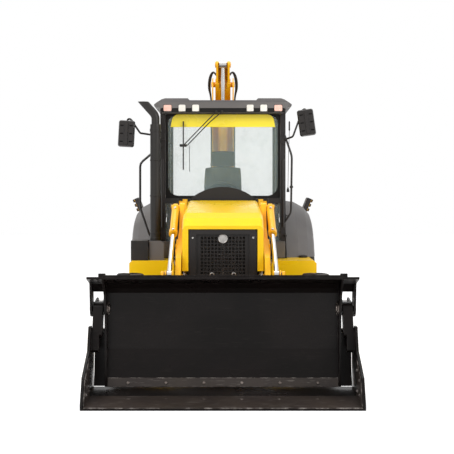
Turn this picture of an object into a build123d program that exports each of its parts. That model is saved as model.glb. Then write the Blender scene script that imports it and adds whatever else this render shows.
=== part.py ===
"""Backhoe loader, centre-pivot digger, four-in-one loader bucket.

Frame: +Z up, origin on the ground under the middle of the machine, the loader
bucket towards -Y, +X the machine's left hand.  Side-view places are written as
(forward, up) in millimetres, measured from the rear axle and from the ground.
"""
from build123d import *
from math import atan2, cos, degrees, hypot, radians, sin
import os

os.makedirs("parts", exist_ok=True)

# ---------------------------------------------------------------- driving sizes
REAR_AXLE_Y = 745.0          # rear axle behind the middle of the machine
WHEELBASE = 2175.0
FIT = 0.4                    # gap of a running or seated fit
CLEAR = 6.0                  # gap between pieces that move past each other

REAR_TYRE_R = 715.0
REAR_TYRE_W = 440.0
REAR_TRACK = 885.0           # wheel centre from the middle plane
REAR_RIM_R = 370.0
FRONT_TYRE_R = 482.0
FRONT_TYRE_W = 308.0
FRONT_TRACK = 960.0
FRONT_RIM_R = 240.0
KINGPIN_X = 735.0

FRAME_X = 300.0              # rail centre from the middle plane
RAIL_T = 50.0
FLOOR_Z = 1020.0
CAB_FRONT = 1050.0
CAB_REAR = -730.0
CAB_X = 720.0                # half width of the cab at its posts
CAB_TOP = 2755.0
POST = 60.0
ROOF_TOP = 2870.0
TUB_X = 620.0                # half width of the cab between the rear wheels
SILL_Z = 1560.0

HOOD_X = 395.0
HOOD_REAR = 1255.0
HOOD_NOSE = 2775.0
HOOD_PIN = (1222.0, 1650.0)
HOOD_SKIN = 18.0
GRILLE_X = 330.0

ARM_X = 429.0                # loader arm centre
ARM_W = 54.0
TILT_X = 500.0               # tilt cylinder and levers
LINK_X = 559.0               # tilt link, outside its lever
LIFT_X = 447.0               # lift cylinder centre

ARM_PIVOT = (1150.0, 1640.0)
BUCKET_PIN = (3330.0, 340.0)
LIFT_BASE = (1050.0, 860.0)
LIFT_EYE = (2080.0, 1060.0)
TILT_BASE = (1923.0, 1641.0)
LEVER_PIN = (3014.0, 761.0)
LEVER_EYE = (3144.0, 1026.0)         # tilt rod on the lever
LINK_TOP = (3205.0, 1035.0)
LINK_LOW = (3460.0, 549.0)

BUCKET_HALF = 1175.0
CLAM_PIN = (3560.0, 760.0)
CLAM_EYE = (3390.0, 800.0)
CLAM_BASE = (3400.0, 230.0)
CLAM_X = BUCKET_HALF - 75            # clam cylinder centre

SWING_AXIS = -1380.0
BOOM_FOOT = (-1530.0, 720.0)
BOOM_TIP = (-1300.0, 3300.0)
BOOM_HALF = 150.0            # half width over the side plates
BOOM_PLATE = 16.0
BOOM_CYL_BASE = (-1447.0, 901.0)
CROWD_EYE = (-1170.0, 3560.0)
DIPPER_LENGTH = 1950.0
DIPPER_ANGLE = radians(230.2)        # direction from boom tip to bucket pin
DIGGER_HALF = 300.0
DIGGER_REACH = 860.0         # bucket pin to tooth tip
DIGGER_ANGLE = radians(-20.0)

LEG_S = -900.0               # stabilizer plane
LEG_PIVOT = (420.0, 650.0)   # (sideways, up)
LEG_LENGTH = 1080.0
LEG_ANGLE = radians(56.0)
LEG_BASE = (220.0, 1420.0)
LEG_EYE_REACH = 300.0


# ---------------------------------------------------------------- small helpers
def at(forward, up, x=0.0):
    """A side-view place as a point of the machine."""
    return (x, REAR_AXLE_Y - forward, up)


def side(x=0.0):
    """Plane whose own axes are forward and up, at a distance x from the middle."""
    return Plane(origin=at(0, 0, x), x_dir=(0, -1, 0), z_dir=(-1, 0, 0))


def front(forward=0.0):
    """Plane whose own axes are +X and up, seen from the front of the machine."""
    return Plane(origin=at(forward, 0), x_dir=(1, 0, 0), z_dir=(0, -1, 0))


def plate(points, x, thickness, mode=Mode.ADD):
    """Flat plate with a side-view outline, its middle plane at x."""
    with BuildSketch(side(x)) as outline:
        with BuildLine():
            Polyline(*points, close=True)
        make_face()
    extrude(outline.sketch, amount=thickness / 2, both=True, mode=mode)


def web(discs, x, thickness, mode=Mode.ADD):
    """Plate wrapped round a chain of discs, each (forward, up, radius)."""
    with BuildSketch(side(x)) as outline:
        for (s, z, r) in discs:
            with Locations((s, z)):
                Circle(r)
        make_hull()
    extrude(outline.sketch, amount=thickness / 2, both=True, mode=mode)


def pin(place, x0, x1, radius, mode=Mode.ADD):
    """Cross pin from x0 to x1 at a side-view place."""
    with Locations(Plane(origin=at(place[0], place[1], min(x0, x1)), z_dir=(1, 0, 0))):
        Cylinder(radius, abs(x1 - x0), align=(Align.CENTER, Align.CENTER, Align.MIN), mode=mode)


def bar(start, end, radius, mode=Mode.ADD):
    """Round bar between two points of the machine."""
    v = Vector(*end) - Vector(*start)
    with Locations(Plane(origin=start, z_dir=v)):
        Cylinder(radius, v.length, align=(Align.CENTER, Align.CENTER, Align.MIN), mode=mode)


def towards(start, end, distance):
    """Point at a distance from start on the way to end, in a side or front view."""
    length = hypot(end[0] - start[0], end[1] - start[1])
    return tuple(a + (b - a) * distance / length for a, b in zip(start, end))


def block(x, forward, up, mode=Mode.ADD):
    """Box given by its limits sideways, forward and up."""
    size = [abs(v[1] - v[0]) for v in (x, forward, up)]
    middle = [(v[0] + v[1]) / 2 for v in (x, forward, up)]
    with Locations(at(middle[1], middle[2], middle[0])):
        Box(size[0], size[1], size[2], mode=mode)


def save(builder, name):
    """Label a finished piece and write it."""
    builder.part.label = name
    export_step(builder.part, f"parts/{name}.step")


SIDES = (-1, 1)
NAMES = {-1: "right", 1: "left"}

# ---------------------------------------------------------------- wheels
# side, name, forward place, track, tyre radius, tyre width, rim radius
WHEELS = [
    (sx, f"{axle}_{NAMES[sx]}", s, track, tyre_r, tyre_w, rim_r)
    for sx in SIDES
    for axle, s, track, tyre_r, tyre_w, rim_r in (
        ("front", WHEELBASE, FRONT_TRACK, FRONT_TYRE_R, FRONT_TYRE_W, FRONT_RIM_R),
        ("rear", 0.0, REAR_TRACK, REAR_TYRE_R, REAR_TYRE_W, REAR_RIM_R),
    )
]
RIM_T = 12.0
RIM_LIP = 22.0
HUB_R = {"front": 95.0, "rear": 140.0}
HUB_FACE = {"front": 905.0, "rear": 860.0}      # outer face of hub, inner face of wheel disc


def wheel_plane(s, radius, track_x, sx):
    """Plane for a wheel's half section: local x outwards along the axle, local y up."""
    return Plane(origin=at(s, radius, sx * track_x), x_dir=(sx, 0, 0), z_dir=(0, -sx, 0))


# lug height, lugs in a row, lug thickness, slant from the axle
LUGS = {"front": (16.0, 18, 42.0, 32.0), "rear": (30.0, 20, 52.0, 38.0)}
HAND_HOLES = 8


def tread(half, crown, drop):
    """Corners of the tread from one shoulder to the other: flat crown and rounded-off shoulders."""
    return [(-half * 0.93, crown - drop), (-half * 0.80, crown - 6), (-half * 0.4, crown), (half * 0.4, crown),
            (half * 0.80, crown - 6), (half * 0.93, crown - drop)]


for sx, name, s, track, tyre_r, tyre_w, rim_r in WHEELS:
    axle = name.split("_")[0]
    half = tyre_w / 2
    spin = Axis(at(s, tyre_r), (1, 0, 0))
    plane = wheel_plane(s, tyre_r, track, sx)
    lug_height, lug_count, lug_w, lug_slant = LUGS[axle]
    crown = tyre_r - lug_height
    with BuildPart() as tyre:
        for row in SIDES:
            with Locations(Plane(origin=at(s, tyre_r, sx * track + row * half / 2), z_dir=(1, 0, 0))):
                with PolarLocations(tyre_r - 40, lug_count, start_angle=90 + 90 * (1 - row) / lug_count):
                    Box(90, lug_w, half * 1.12, rotation=(row * lug_slant, 0, 0))
        with BuildSketch(plane):
            with BuildLine():
                Polyline((-half * 0.99, crown - 60), *tread(half, tyre_r, 26), (half * 0.99, crown - 60), close=True)
            make_face()
        revolve(axis=spin, mode=Mode.INTERSECT)
        with BuildSketch(plane):
            with BuildLine():
                Polyline(
                    (-half * 0.80, rim_r + FIT), (-half * 0.80, rim_r + RIM_LIP + 6),
                    (-half * 0.98, rim_r + (tyre_r - rim_r) * 0.35), (-half, rim_r + (tyre_r - rim_r) * 0.62),
                    *tread(half, crown, 26),
                    (half, rim_r + (tyre_r - rim_r) * 0.62), (half * 0.98, rim_r + (tyre_r - rim_r) * 0.35),
                    (half * 0.80, rim_r + RIM_LIP + 6), (half * 0.80, rim_r + FIT), close=True,
                )
            make_face()
        revolve(axis=spin)
    save(tyre, f"tyre_{name}")

    disc = HUB_FACE[axle] + FIT - track
    lip = half * 0.80 + 12
    with BuildPart() as rim:
        with BuildSketch(plane):
            with BuildLine():
                Polyline(
                    (-lip, rim_r + RIM_LIP), (-half * 0.80 - FIT, rim_r + RIM_LIP), (-half * 0.80 - FIT, rim_r),
                    (half * 0.80 + FIT, rim_r), (half * 0.80 + FIT, rim_r + RIM_LIP), (lip, rim_r + RIM_LIP),
                    (lip, rim_r - RIM_T), (disc + 60, rim_r - RIM_T), (disc + 60, rim_r - 50),
                    (disc + 16, rim_r * 0.55), (disc + 16, 60), (disc + 50, 55), (disc + 50, 0),
                    (disc, 0), (disc, rim_r * 0.55), (disc + 30, rim_r - RIM_T - 26),
                    (disc + 30, rim_r - RIM_T), (-lip, rim_r - RIM_T), close=True,
                )
            make_face()
        revolve(axis=spin)
        with Locations(Plane(origin=at(s, tyre_r, sx * track), z_dir=(1, 0, 0))):
            with PolarLocations(rim_r * 0.70, HAND_HOLES):
                Cylinder(rim_r * 0.09, tyre_w, mode=Mode.SUBTRACT)
    save(rim, f"rim_{name}")

# ---------------------------------------------------------------- axles
with BuildPart() as rear_axle:
    bar(at(0, REAR_TYRE_R, -HUB_FACE["rear"] + 120), at(0, REAR_TYRE_R, HUB_FACE["rear"] - 120), 105)
    for sx in SIDES:
        bar(at(0, REAR_TYRE_R, sx * (HUB_FACE["rear"] - 120)), at(0, REAR_TYRE_R, sx * HUB_FACE["rear"]),
            HUB_R["rear"])
        block((sx * (FRAME_X - 60), sx * (FRAME_X + 60)), (-90, 90), (REAR_TYRE_R, 850 - FIT))
    with Locations(at(0, REAR_TYRE_R - 20)):
        Sphere(185)
    block((-70, 70), (100, 330), (REAR_TYRE_R - 70, REAR_TYRE_R + 60))
save(rear_axle, "rear_axle")

AXLE_PIVOT_Z = 560.0
AXLE_END = 644.0             # inner wall of the fork that holds the kingpin
with BuildPart() as front_axle:
    with BuildSketch(front(WHEELBASE)):
        with BuildLine():
            Polyline((-672, 452), (-420, 395), (420, 395), (672, 452), (672, 512), (420, 530),
                     (120, 600), (-120, 600), (-420, 530), (-672, 512), close=True)
        make_face()
    extrude(amount=48, both=True)
    for sx in SIDES:
        for low, high in ((352, 392), (572, 612)):
            bar(at(WHEELBASE, low, sx * KINGPIN_X), at(WHEELBASE, high, sx * KINGPIN_X), 48)
            block((sx * 600, sx * KINGPIN_X), (WHEELBASE - 44, WHEELBASE + 44), (low, high))
        block((sx * 600, sx * AXLE_END), (WHEELBASE - 38, WHEELBASE + 38), (352, 612))
    for sx in SIDES:
        bar(at(WHEELBASE, 340, sx * KINGPIN_X), at(WHEELBASE, 624, sx * KINGPIN_X), 22)
    bar(at(WHEELBASE - 150, AXLE_PIVOT_Z, 0), at(WHEELBASE + 150, AXLE_PIVOT_Z, 0), 40)
save(front_axle, "front_axle")

STEER_ARM = 150.0            # behind the kingpin
STEER_ARM_X = 720.0
for sx in SIDES:
    with BuildPart() as knuckle:
        bar(at(WHEELBASE, 392 + FIT, sx * KINGPIN_X), at(WHEELBASE, 572 - FIT, sx * KINGPIN_X), 46)
        bar(at(WHEELBASE, FRONT_TYRE_R, sx * KINGPIN_X), at(WHEELBASE, FRONT_TYRE_R, sx * HUB_FACE["front"]), 55)
        bar(at(WHEELBASE, FRONT_TYRE_R, sx * 820), at(WHEELBASE, FRONT_TYRE_R, sx * HUB_FACE["front"]),
            HUB_R["front"])
        with BuildSketch(Plane.XY.offset(404)):
            for (x, s, r) in ((KINGPIN_X, WHEELBASE, 14), (STEER_ARM_X, WHEELBASE - STEER_ARM, 24)):
                with Locations((sx * x, REAR_AXLE_Y - s)):
                    Circle(r)
            make_hull()
        extrude(amount=22)
        bar(at(WHEELBASE, 392, sx * KINGPIN_X), at(WHEELBASE, 572, sx * KINGPIN_X), 22 + FIT, Mode.SUBTRACT)
    save(knuckle, f"knuckle_{NAMES[sx]}")

with BuildPart() as track_rod:
    bar(at(WHEELBASE - STEER_ARM, 446, -STEER_ARM_X), at(WHEELBASE - STEER_ARM, 446, STEER_ARM_X), 14)
    for sx in SIDES:
        bar(at(WHEELBASE - STEER_ARM, 426 + FIT, sx * STEER_ARM_X), at(WHEELBASE - STEER_ARM, 466, sx * STEER_ARM_X), 24)
save(track_rod, "track_rod")

# ---------------------------------------------------------------- chassis
TOWER_INNER = 382.0
TOWER_OUTER = 512.0
TOWER_T = 22.0
HOOD_EAR_X = 350.0
TOWER_REAR = CAB_FRONT + 12
RAIL_FRONT = 2780.0
with BuildPart() as chassis:
    for sx in SIDES:
        plate([(RAIL_FRONT, 610), (RAIL_FRONT, 860), (600, 860), (350, 1000), (-780, 1000), (-780, 850 + FIT),
               (280, 850 + FIT), (520, 610)], sx * FRAME_X, RAIL_T)
        for tx in (TOWER_INNER, TOWER_OUTER):
            plate([(1010, 640), (1260, 640), (1260, 760), (1236, 1000), (1236, 1560), (1205, 1690),
                   (1150, 1730), (1085, 1700), (TOWER_REAR, 1560), (TOWER_REAR, 1010), (1010, 1000)],
                  sx * tx, TOWER_T)
        block((sx * (FRAME_X + RAIL_T / 2), sx * (TOWER_OUTER + TOWER_T / 2)), (1010, 1170), (640, 700))
        block((sx * TOWER_INNER, sx * TOWER_OUTER), (TOWER_REAR, TOWER_REAR + 16), (1010, 1500))
        pin(ARM_PIVOT, sx * TOWER_INNER, sx * (TOWER_OUTER + 24), 32)
        pin(LIFT_BASE, sx * TOWER_INNER, sx * (TOWER_OUTER + 18), 24)
        pin(HOOD_PIN, sx * TOWER_INNER, sx * (HOOD_EAR_X - 12), 12)
        for s, low in ((-600, 1000), (250, 1000), (920, 860)):
            block((sx * (FRAME_X - 40), sx * (FRAME_X + 40)), (s - 45, s + 45), (low, FLOOR_Z - FIT))
    block((-FRAME_X, FRAME_X), (WHEELBASE - 55, WHEELBASE + 55), (640, 840))
    block((-FRAME_X, FRAME_X), (RAIL_FRONT - 70, RAIL_FRONT), (610, 860))
    block((-FRAME_X, FRAME_X), (1000, 1100), (620, 840))
    block((-FRAME_X, FRAME_X), (-780, -740), (850 + FIT, 1000))
    for s in (WHEELBASE - 110, WHEELBASE + 110):
        block((-110, 110), (s - 20, s + 20), (500, 700))
    block((-110, 110), (WHEELBASE - 130, WHEELBASE + 130), (640, 700))
    bar(at(WHEELBASE - 160, AXLE_PIVOT_Z, 0), at(WHEELBASE + 160, AXLE_PIVOT_Z, 0), 40 + FIT, Mode.SUBTRACT)
save(chassis, "chassis_frame")

with BuildPart() as engine:
    block((-230, 230), (1330, 2330), (870, 1400))
    block((-290, 290), (2480, 2600), (860 + FIT, 1440))
    block((-200, 200), (2330, 2480), (950, 1300))
    block((-200, 200), (1330, 2030), (720, 870))
    for s in (1420, 2240):
        block((-FRAME_X + RAIL_T / 2 + FIT, FRAME_X - RAIL_T / 2 - FIT), (s - 50, s + 50), (860, 930))
save(engine, "engine_block")

with BuildPart() as tanks:
    for sx in SIDES:
        block((sx * 540, sx * 1040), (790, 1440), (480, 1040))
    chamfer(tanks.edges().filter_by(Axis.Y), 30)
    block((-CAB_X - 20, CAB_X + 20), (780, CAB_FRONT + 10), (FLOOR_Z - 10, 1100), Mode.SUBTRACT)
    for sx in SIDES:
        block((sx * (TOWER_OUTER + TOWER_T / 2), sx * 545), (1030, 1280), (660, 760))
save(tanks, "side_tanks")

# ---------------------------------------------------------------- hood and grille
with BuildPart() as hood:
    with BuildSketch(side()):
        with BuildLine():
            Polyline((HOOD_REAR, 1030), (HOOD_REAR, 1705), (2560, 1592), (2710, 1545), (HOOD_NOSE, 1470),
                     (HOOD_NOSE, 1030), close=True)
        make_face()
    extrude(amount=HOOD_X, both=True)
    fillet(hood.edges().filter_by(lambda e: abs(e.tangent_at(0.5).X) < 0.1
                                  and e.center().Z > 1480 and abs(e.center().X) > HOOD_X - 5), 45)
    with BuildSketch(side()):
        with BuildLine():
            Polyline((HOOD_REAR - 50, 900), (HOOD_REAR - 50, 1705 - HOOD_SKIN), (2555, 1592 - HOOD_SKIN),
                     (2700, 1545 - HOOD_SKIN), (HOOD_NOSE - HOOD_SKIN, 1465 - HOOD_SKIN),
                     (HOOD_NOSE - HOOD_SKIN, 900), close=True)
        make_face()
    extrude(amount=HOOD_X - HOOD_SKIN, both=True, mode=Mode.SUBTRACT)
    block((-GRILLE_X - CLEAR, GRILLE_X + CLEAR), (HOOD_NOSE - 60, HOOD_NOSE + 60), (900, 1430 + CLEAR),
          Mode.SUBTRACT)
    for row in range(2):
        for column in range(7):
            block((-HOOD_X - 5, HOOD_X + 5), (1620 + column * 95, 1680 + column * 95),
                  (1330 + row * 60, 1362 + row * 60), Mode.SUBTRACT)
    for sx in SIDES:
        web([(*HOOD_PIN, 24), (1310, 1640, 24)], sx * HOOD_EAR_X, 16)
        block((sx * HOOD_EAR_X, sx * (HOOD_X - HOOD_SKIN + 4)), (1280, 1330), (1620, 1660))
        pin(HOOD_PIN, 0, sx * HOOD_X, 12 + FIT, Mode.SUBTRACT)
save(hood, "hood")

GRILLE_TOP = 1430.0
COLUMN_W = 72.0              # plain column at each side of the mesh
MESH_PITCH = 34.0
MESH_HOLE = 25.0
MESH_COLUMNS = 13
MESH_ROWS = 13
with BuildPart() as grille:
    block((-GRILLE_X, GRILLE_X), (HOOD_NOSE - 45, HOOD_NOSE - 5), (860 + FIT, GRILLE_TOP))
    fillet(grille.edges().filter_by(Axis.Y).group_by(Axis.Z)[-1], 24)
    block((-GRILLE_X + COLUMN_W, GRILLE_X - COLUMN_W), (HOOD_NOSE - 50, HOOD_NOSE), (905, GRILLE_TOP - 45),
          Mode.SUBTRACT)
    block((-GRILLE_X + COLUMN_W, GRILLE_X - COLUMN_W), (HOOD_NOSE - 34, HOOD_NOSE - 28), (905, GRILLE_TOP - 45))
    with BuildSketch(front(HOOD_NOSE - 50)):
        with Locations((0, (905 + GRILLE_TOP - 45) / 2)):
            with GridLocations(MESH_PITCH, MESH_PITCH, MESH_COLUMNS, MESH_ROWS):
                Rectangle(MESH_HOLE, MESH_HOLE)
    extrude(amount=40, mode=Mode.SUBTRACT)
    for sx in SIDES:
        column = sx * (GRILLE_X - COLUMN_W / 2)
        block((column - 26, column + 26), (HOOD_NOSE - 8, HOOD_NOSE), (900, GRILLE_TOP - 40))
        bar(at(HOOD_NOSE - 20, GRILLE_TOP - 75, column), at(HOOD_NOSE, GRILLE_TOP - 75, column), 15, Mode.SUBTRACT)
    block((-GRILLE_X, GRILLE_X), (2700, HOOD_NOSE - 20), (860 + FIT, 880))
save(grille, "grille")

# ---------------------------------------------------------------- cab
WINDSHIELD_LOW = 1730.0
COWL_X = 364.0               # half width of the black cowl, between the towers
DOOR_REAR = 40.0
DOOR_FRONT = CAB_FRONT - POST - CLEAR
DOOR_T = 44.0
DOOR_X = CAB_X - DOOR_T / 2
DOOR_BORDER = 50.0
DOOR_ARCH_R = REAR_TYRE_R + 287      # door bottom, over the fender
GLASS_T = 6.0
GLASS_GAP = 0.3


def on_arch(radius, up):
    """Forward place of a circle about the rear axle at a height."""
    return (radius ** 2 - (up - REAR_TYRE_R) ** 2) ** 0.5


def door_outline(border, x, thickness, mode=Mode.ADD):
    """Door shape with its bottom cut round the rear wheel, moved inwards by a border."""
    low = 1100.0
    top = REAR_TYRE_R + (DOOR_ARCH_R ** 2 - DOOR_REAR ** 2) ** 0.5
    with BuildSketch(side(x)) as outline:
        with BuildLine():
            Polyline((on_arch(DOOR_ARCH_R, low), low), (DOOR_FRONT, low), (DOOR_FRONT, CAB_TOP - 65),
                     (DOOR_REAR, CAB_TOP - 65), (DOOR_REAR, top))
            CenterArc((0, REAR_TYRE_R), DOOR_ARCH_R, degrees(atan2(low - REAR_TYRE_R, on_arch(DOOR_ARCH_R, low))),
                      degrees(atan2(top - REAR_TYRE_R, DOOR_REAR))
                      - degrees(atan2(low - REAR_TYRE_R, on_arch(DOOR_ARCH_R, low))))
        make_face()
        if border:
            offset(amount=-border, kind=Kind.INTERSECTION)
    extrude(outline.sketch, amount=thickness / 2, both=True, mode=mode)


DOOR_HINGES = (1850.0, 2450.0)       # heights where the cab's knuckle meets the door's
KNUCKLE_R = 11.0
ARCH_W = CAB_X - DOOR_T - CLEAR - TUB_X + 30
with BuildPart() as cab:
    for sx in SIDES:
        with BuildSketch(Plane(origin=at(0, REAR_TYRE_R, sx * (TUB_X - 30)), x_dir=(sx, 0, 0), z_dir=(0, -sx, 0))):
            with Locations((ARCH_W / 2, DOOR_ARCH_R - 30)):
                Rectangle(ARCH_W, 20)
        revolve(axis=Axis(at(0, REAR_TYRE_R), (1, 0, 0)), revolution_arc=360)
    block((-CAB_X, CAB_X), (-1200, DOOR_REAR - CLEAR - POST), (-400, 1800), Mode.SUBTRACT)
    block((-CAB_X, CAB_X), (-1200, 1200), (-400, FLOOR_Z), Mode.SUBTRACT)
    block((-TUB_X, TUB_X), (CAB_REAR, CAB_FRONT - 20), (FLOOR_Z, FLOOR_Z + 40))
    for sx in SIDES:
        block((sx * (CAB_X - POST), sx * CAB_X), (CAB_FRONT - POST, CAB_FRONT), (FLOOR_Z + 40, CAB_TOP))
        block((sx * (CAB_X - POST), sx * CAB_X), (DOOR_REAR - CLEAR - POST, DOOR_REAR - CLEAR), (SILL_Z, CAB_TOP))
        block((sx * (CAB_X - POST), sx * CAB_X), (CAB_REAR, CAB_REAR + POST), (SILL_Z, CAB_TOP))
        block((sx * (CAB_X - POST), sx * CAB_X), (CAB_REAR, CAB_FRONT), (CAB_TOP - 60, CAB_TOP))
        block((sx * (TUB_X - 30), sx * TUB_X), (CAB_REAR, 560), (FLOOR_Z, SILL_Z))
        block((sx * (TUB_X - 30), sx * TUB_X), (560, 860), (FLOOR_Z, 1200))
        block((sx * (TUB_X - 30), sx * CAB_X), (CAB_REAR, DOOR_REAR - CLEAR), (SILL_Z - 30, SILL_Z + 20))
        block((sx * 430, sx * CAB_X), (CAB_FRONT - 40, CAB_FRONT), (FLOOR_Z, 1240))
        block((sx * (TUB_X - 30), sx * CAB_X), (800, CAB_FRONT), (FLOOR_Z, FLOOR_Z + 40))
    block((-CAB_X, CAB_X), (CAB_FRONT - POST, CAB_FRONT), (CAB_TOP - 60, CAB_TOP))
    block((-CAB_X, CAB_X), (CAB_REAR, CAB_REAR + POST), (CAB_TOP - 60, CAB_TOP))
    block((-TUB_X, TUB_X), (CAB_REAR, CAB_REAR + 30), (FLOOR_Z, SILL_Z + 20))
    block((-CAB_X, CAB_X), (CAB_FRONT - 40, CAB_FRONT), (WINDSHIELD_LOW - 60, WINDSHIELD_LOW))
    block((-430, 430), (CAB_FRONT - 40, CAB_FRONT), (FLOOR_Z, WINDSHIELD_LOW))
    with BuildSketch(front(CAB_FRONT)):
        with BuildLine():
            Polyline((-COWL_X, WINDSHIELD_LOW), (-COWL_X, 1640), (COWL_X, 1640), (COWL_X, WINDSHIELD_LOW))
            ThreePointArc((COWL_X, WINDSHIELD_LOW), (0, WINDSHIELD_LOW + 130), (-COWL_X, WINDSHIELD_LOW))
        make_face()
    extrude(amount=60)
    for sx in SIDES:
        for z in DOOR_HINGES:
            bar(at(DOOR_REAR, z, sx * CAB_X), at(DOOR_REAR, z + 62, sx * CAB_X), KNUCKLE_R + 3, Mode.SUBTRACT)
            bar(at(DOOR_REAR, z - 60, sx * CAB_X), at(DOOR_REAR, z, sx * CAB_X), KNUCKLE_R)
            bar(at(DOOR_REAR, z - 60, sx * CAB_X), at(DOOR_REAR, z + 58, sx * CAB_X), 5)
save(cab, "cab_frame")

with BuildPart() as glass:
    block((-CAB_X + POST + GLASS_GAP, CAB_X - POST - GLASS_GAP), (CAB_FRONT - 30, CAB_FRONT - 30 + GLASS_T),
          (WINDSHIELD_LOW + GLASS_GAP, CAB_TOP - 60 - GLASS_GAP))
    block((-CAB_X + POST + GLASS_GAP, CAB_X - POST - GLASS_GAP), (CAB_REAR + 20, CAB_REAR + 20 + GLASS_T),
          (SILL_Z + 20 + GLASS_GAP, CAB_TOP - 60 - GLASS_GAP))
    for sx in SIDES:
        block((sx * (430 + GLASS_GAP), sx * (CAB_X - POST - GLASS_GAP)), (CAB_FRONT - 30, CAB_FRONT - 30 + GLASS_T),
              (1240 + GLASS_GAP, WINDSHIELD_LOW - 60 - GLASS_GAP))
        block((sx * (CAB_X - 30), sx * (CAB_X - 30 + GLASS_T)),
              (CAB_REAR + POST + GLASS_GAP, DOOR_REAR - CLEAR - POST - GLASS_GAP),
              (SILL_Z + 20 + GLASS_GAP, CAB_TOP - 60 - GLASS_GAP))
save(glass, "cab_glass")

for sx in SIDES:
    with BuildPart() as door:
        door_outline(0, sx * DOOR_X, DOOR_T)
        door_outline(DOOR_BORDER, sx * DOOR_X, DOOR_T + 2, Mode.SUBTRACT)
        for z in DOOR_HINGES:
            bar(at(DOOR_REAR, z - 62, sx * CAB_X), at(DOOR_REAR, z + FIT, sx * CAB_X), KNUCKLE_R + 3, Mode.SUBTRACT)
            bar(at(DOOR_REAR, z + FIT, sx * CAB_X), at(DOOR_REAR, z + 60, sx * CAB_X), KNUCKLE_R)
            bar(at(DOOR_REAR, z, sx * CAB_X), at(DOOR_REAR, z + 62, sx * CAB_X), 5 + FIT, Mode.SUBTRACT)
    save(door, f"door_{NAMES[sx]}")
    with BuildPart() as door_glass:
        door_outline(DOOR_BORDER + GLASS_GAP, sx * DOOR_X, GLASS_T)
    save(door_glass, f"door_{NAMES[sx]}_glass")

ROOF_X = 790.0               # half width over the eaves
ROOF_FRONT = CAB_FRONT + 120
ROOF_REAR = CAB_REAR - 120
PAD_X = 380.0                # inner edge of the raised pads at both sides
EAVES_Z = CAB_TOP + 45
FASCIA_LOW = CAB_TOP - 55
LAMP_W = 88.0
LAMP_H = 92.0
LAMP_X = (310.0, 465.0, 630.0)
with BuildPart() as roof:
    with BuildSketch(front()):
        with BuildLine():
            Polyline((-PAD_X - 330, CAB_TOP + FIT), (PAD_X + 330, CAB_TOP + FIT), (ROOF_X - 10, EAVES_Z - 24),
                     (ROOF_X, EAVES_Z), (ROOF_X - 90, ROOF_TOP - 12), (ROOF_X - 130, ROOF_TOP), (PAD_X + 20, ROOF_TOP),
                     (PAD_X, ROOF_TOP - 22), (-PAD_X, ROOF_TOP - 22), (-PAD_X - 20, ROOF_TOP),
                     (-ROOF_X + 130, ROOF_TOP), (-ROOF_X + 90, ROOF_TOP - 12), (-ROOF_X, EAVES_Z),
                     (-ROOF_X + 10, EAVES_Z - 24), close=True)
        make_face()
    extrude(amount=ROOF_FRONT)
    extrude(roof.faces().sort_by(Axis.Y)[-1], amount=-ROOF_REAR)
    with BuildSketch(Plane.XY.offset(CAB_TOP)):
        with Locations((0, REAR_AXLE_Y - (ROOF_FRONT + ROOF_REAR) / 2)):
            RectangleRounded(2 * ROOF_X + 20, ROOF_FRONT - ROOF_REAR, 110)
    extrude(amount=ROOF_TOP - CAB_TOP + 10, mode=Mode.INTERSECT)
    for edge_s in (ROOF_FRONT, ROOF_REAR):
        toward = 1 if edge_s > 0 else -1
        block((-ROOF_X, ROOF_X), (edge_s - toward * 25, edge_s), (ROOF_TOP - 45, ROOF_TOP), Mode.SUBTRACT)
        # lamp board below the roof's edge
        block((-ROOF_X + 95, ROOF_X - 95), (edge_s - toward * 60, edge_s - toward * 20), (FASCIA_LOW, CAB_TOP + 20))
        for x in LAMP_X if edge_s > 0 else LAMP_X[1:]:
            for sx in SIDES:
                block((sx * (x - LAMP_W / 2), sx * (x + LAMP_W / 2)), (edge_s - toward * 26, edge_s - toward * 4),
                      (CAB_TOP - 44, CAB_TOP - 44 + LAMP_H))
                block((sx * (x - LAMP_W / 2 + 7), sx * (x + LAMP_W / 2 - 7)),
                      (edge_s - toward * 14, edge_s), (CAB_TOP - 37, CAB_TOP - 37 + LAMP_H - 14), Mode.SUBTRACT)
save(roof, "cab_roof")

with BuildPart() as seat:
    block((-250, 250), (-260, 240), (FLOOR_Z + 380, FLOOR_Z + 500))
    block((-240, 240), (-330, -220), (FLOOR_Z + 500, 2130))
    block((-150, 150), (-315, -235), (2130, 2330))
    block((-180, 180), (-180, 160), (FLOOR_Z + 40 + FIT, FLOOR_Z + 380))
    for sx in SIDES:
        block((sx * 255, sx * 320), (-300, 60), (1700, 1760))
        block((sx * 240, sx * 290), (-300, -240), (1640, 1760))
save(seat, "seat")

with BuildPart() as console:
    block((-140, 140), (780, 1000), (FLOOR_Z + 40 + FIT, 1620))
    bar(at(860, 1600), at(700, 1790), 30)
    with Locations(Plane(origin=at(700, 1790), z_dir=Vector(*at(700, 1790)) - Vector(*at(860, 1600)))):
        Torus(190, 16)
        Cylinder(60, 24)
    with Locations(at(700, 1790)):
        Box(390, 30, 18)
save(console, "steering_console")

# ---------------------------------------------------------------- fenders
FENDER_T = 20.0
FENDER_LOW = REAR_TYRE_R + 325
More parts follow.
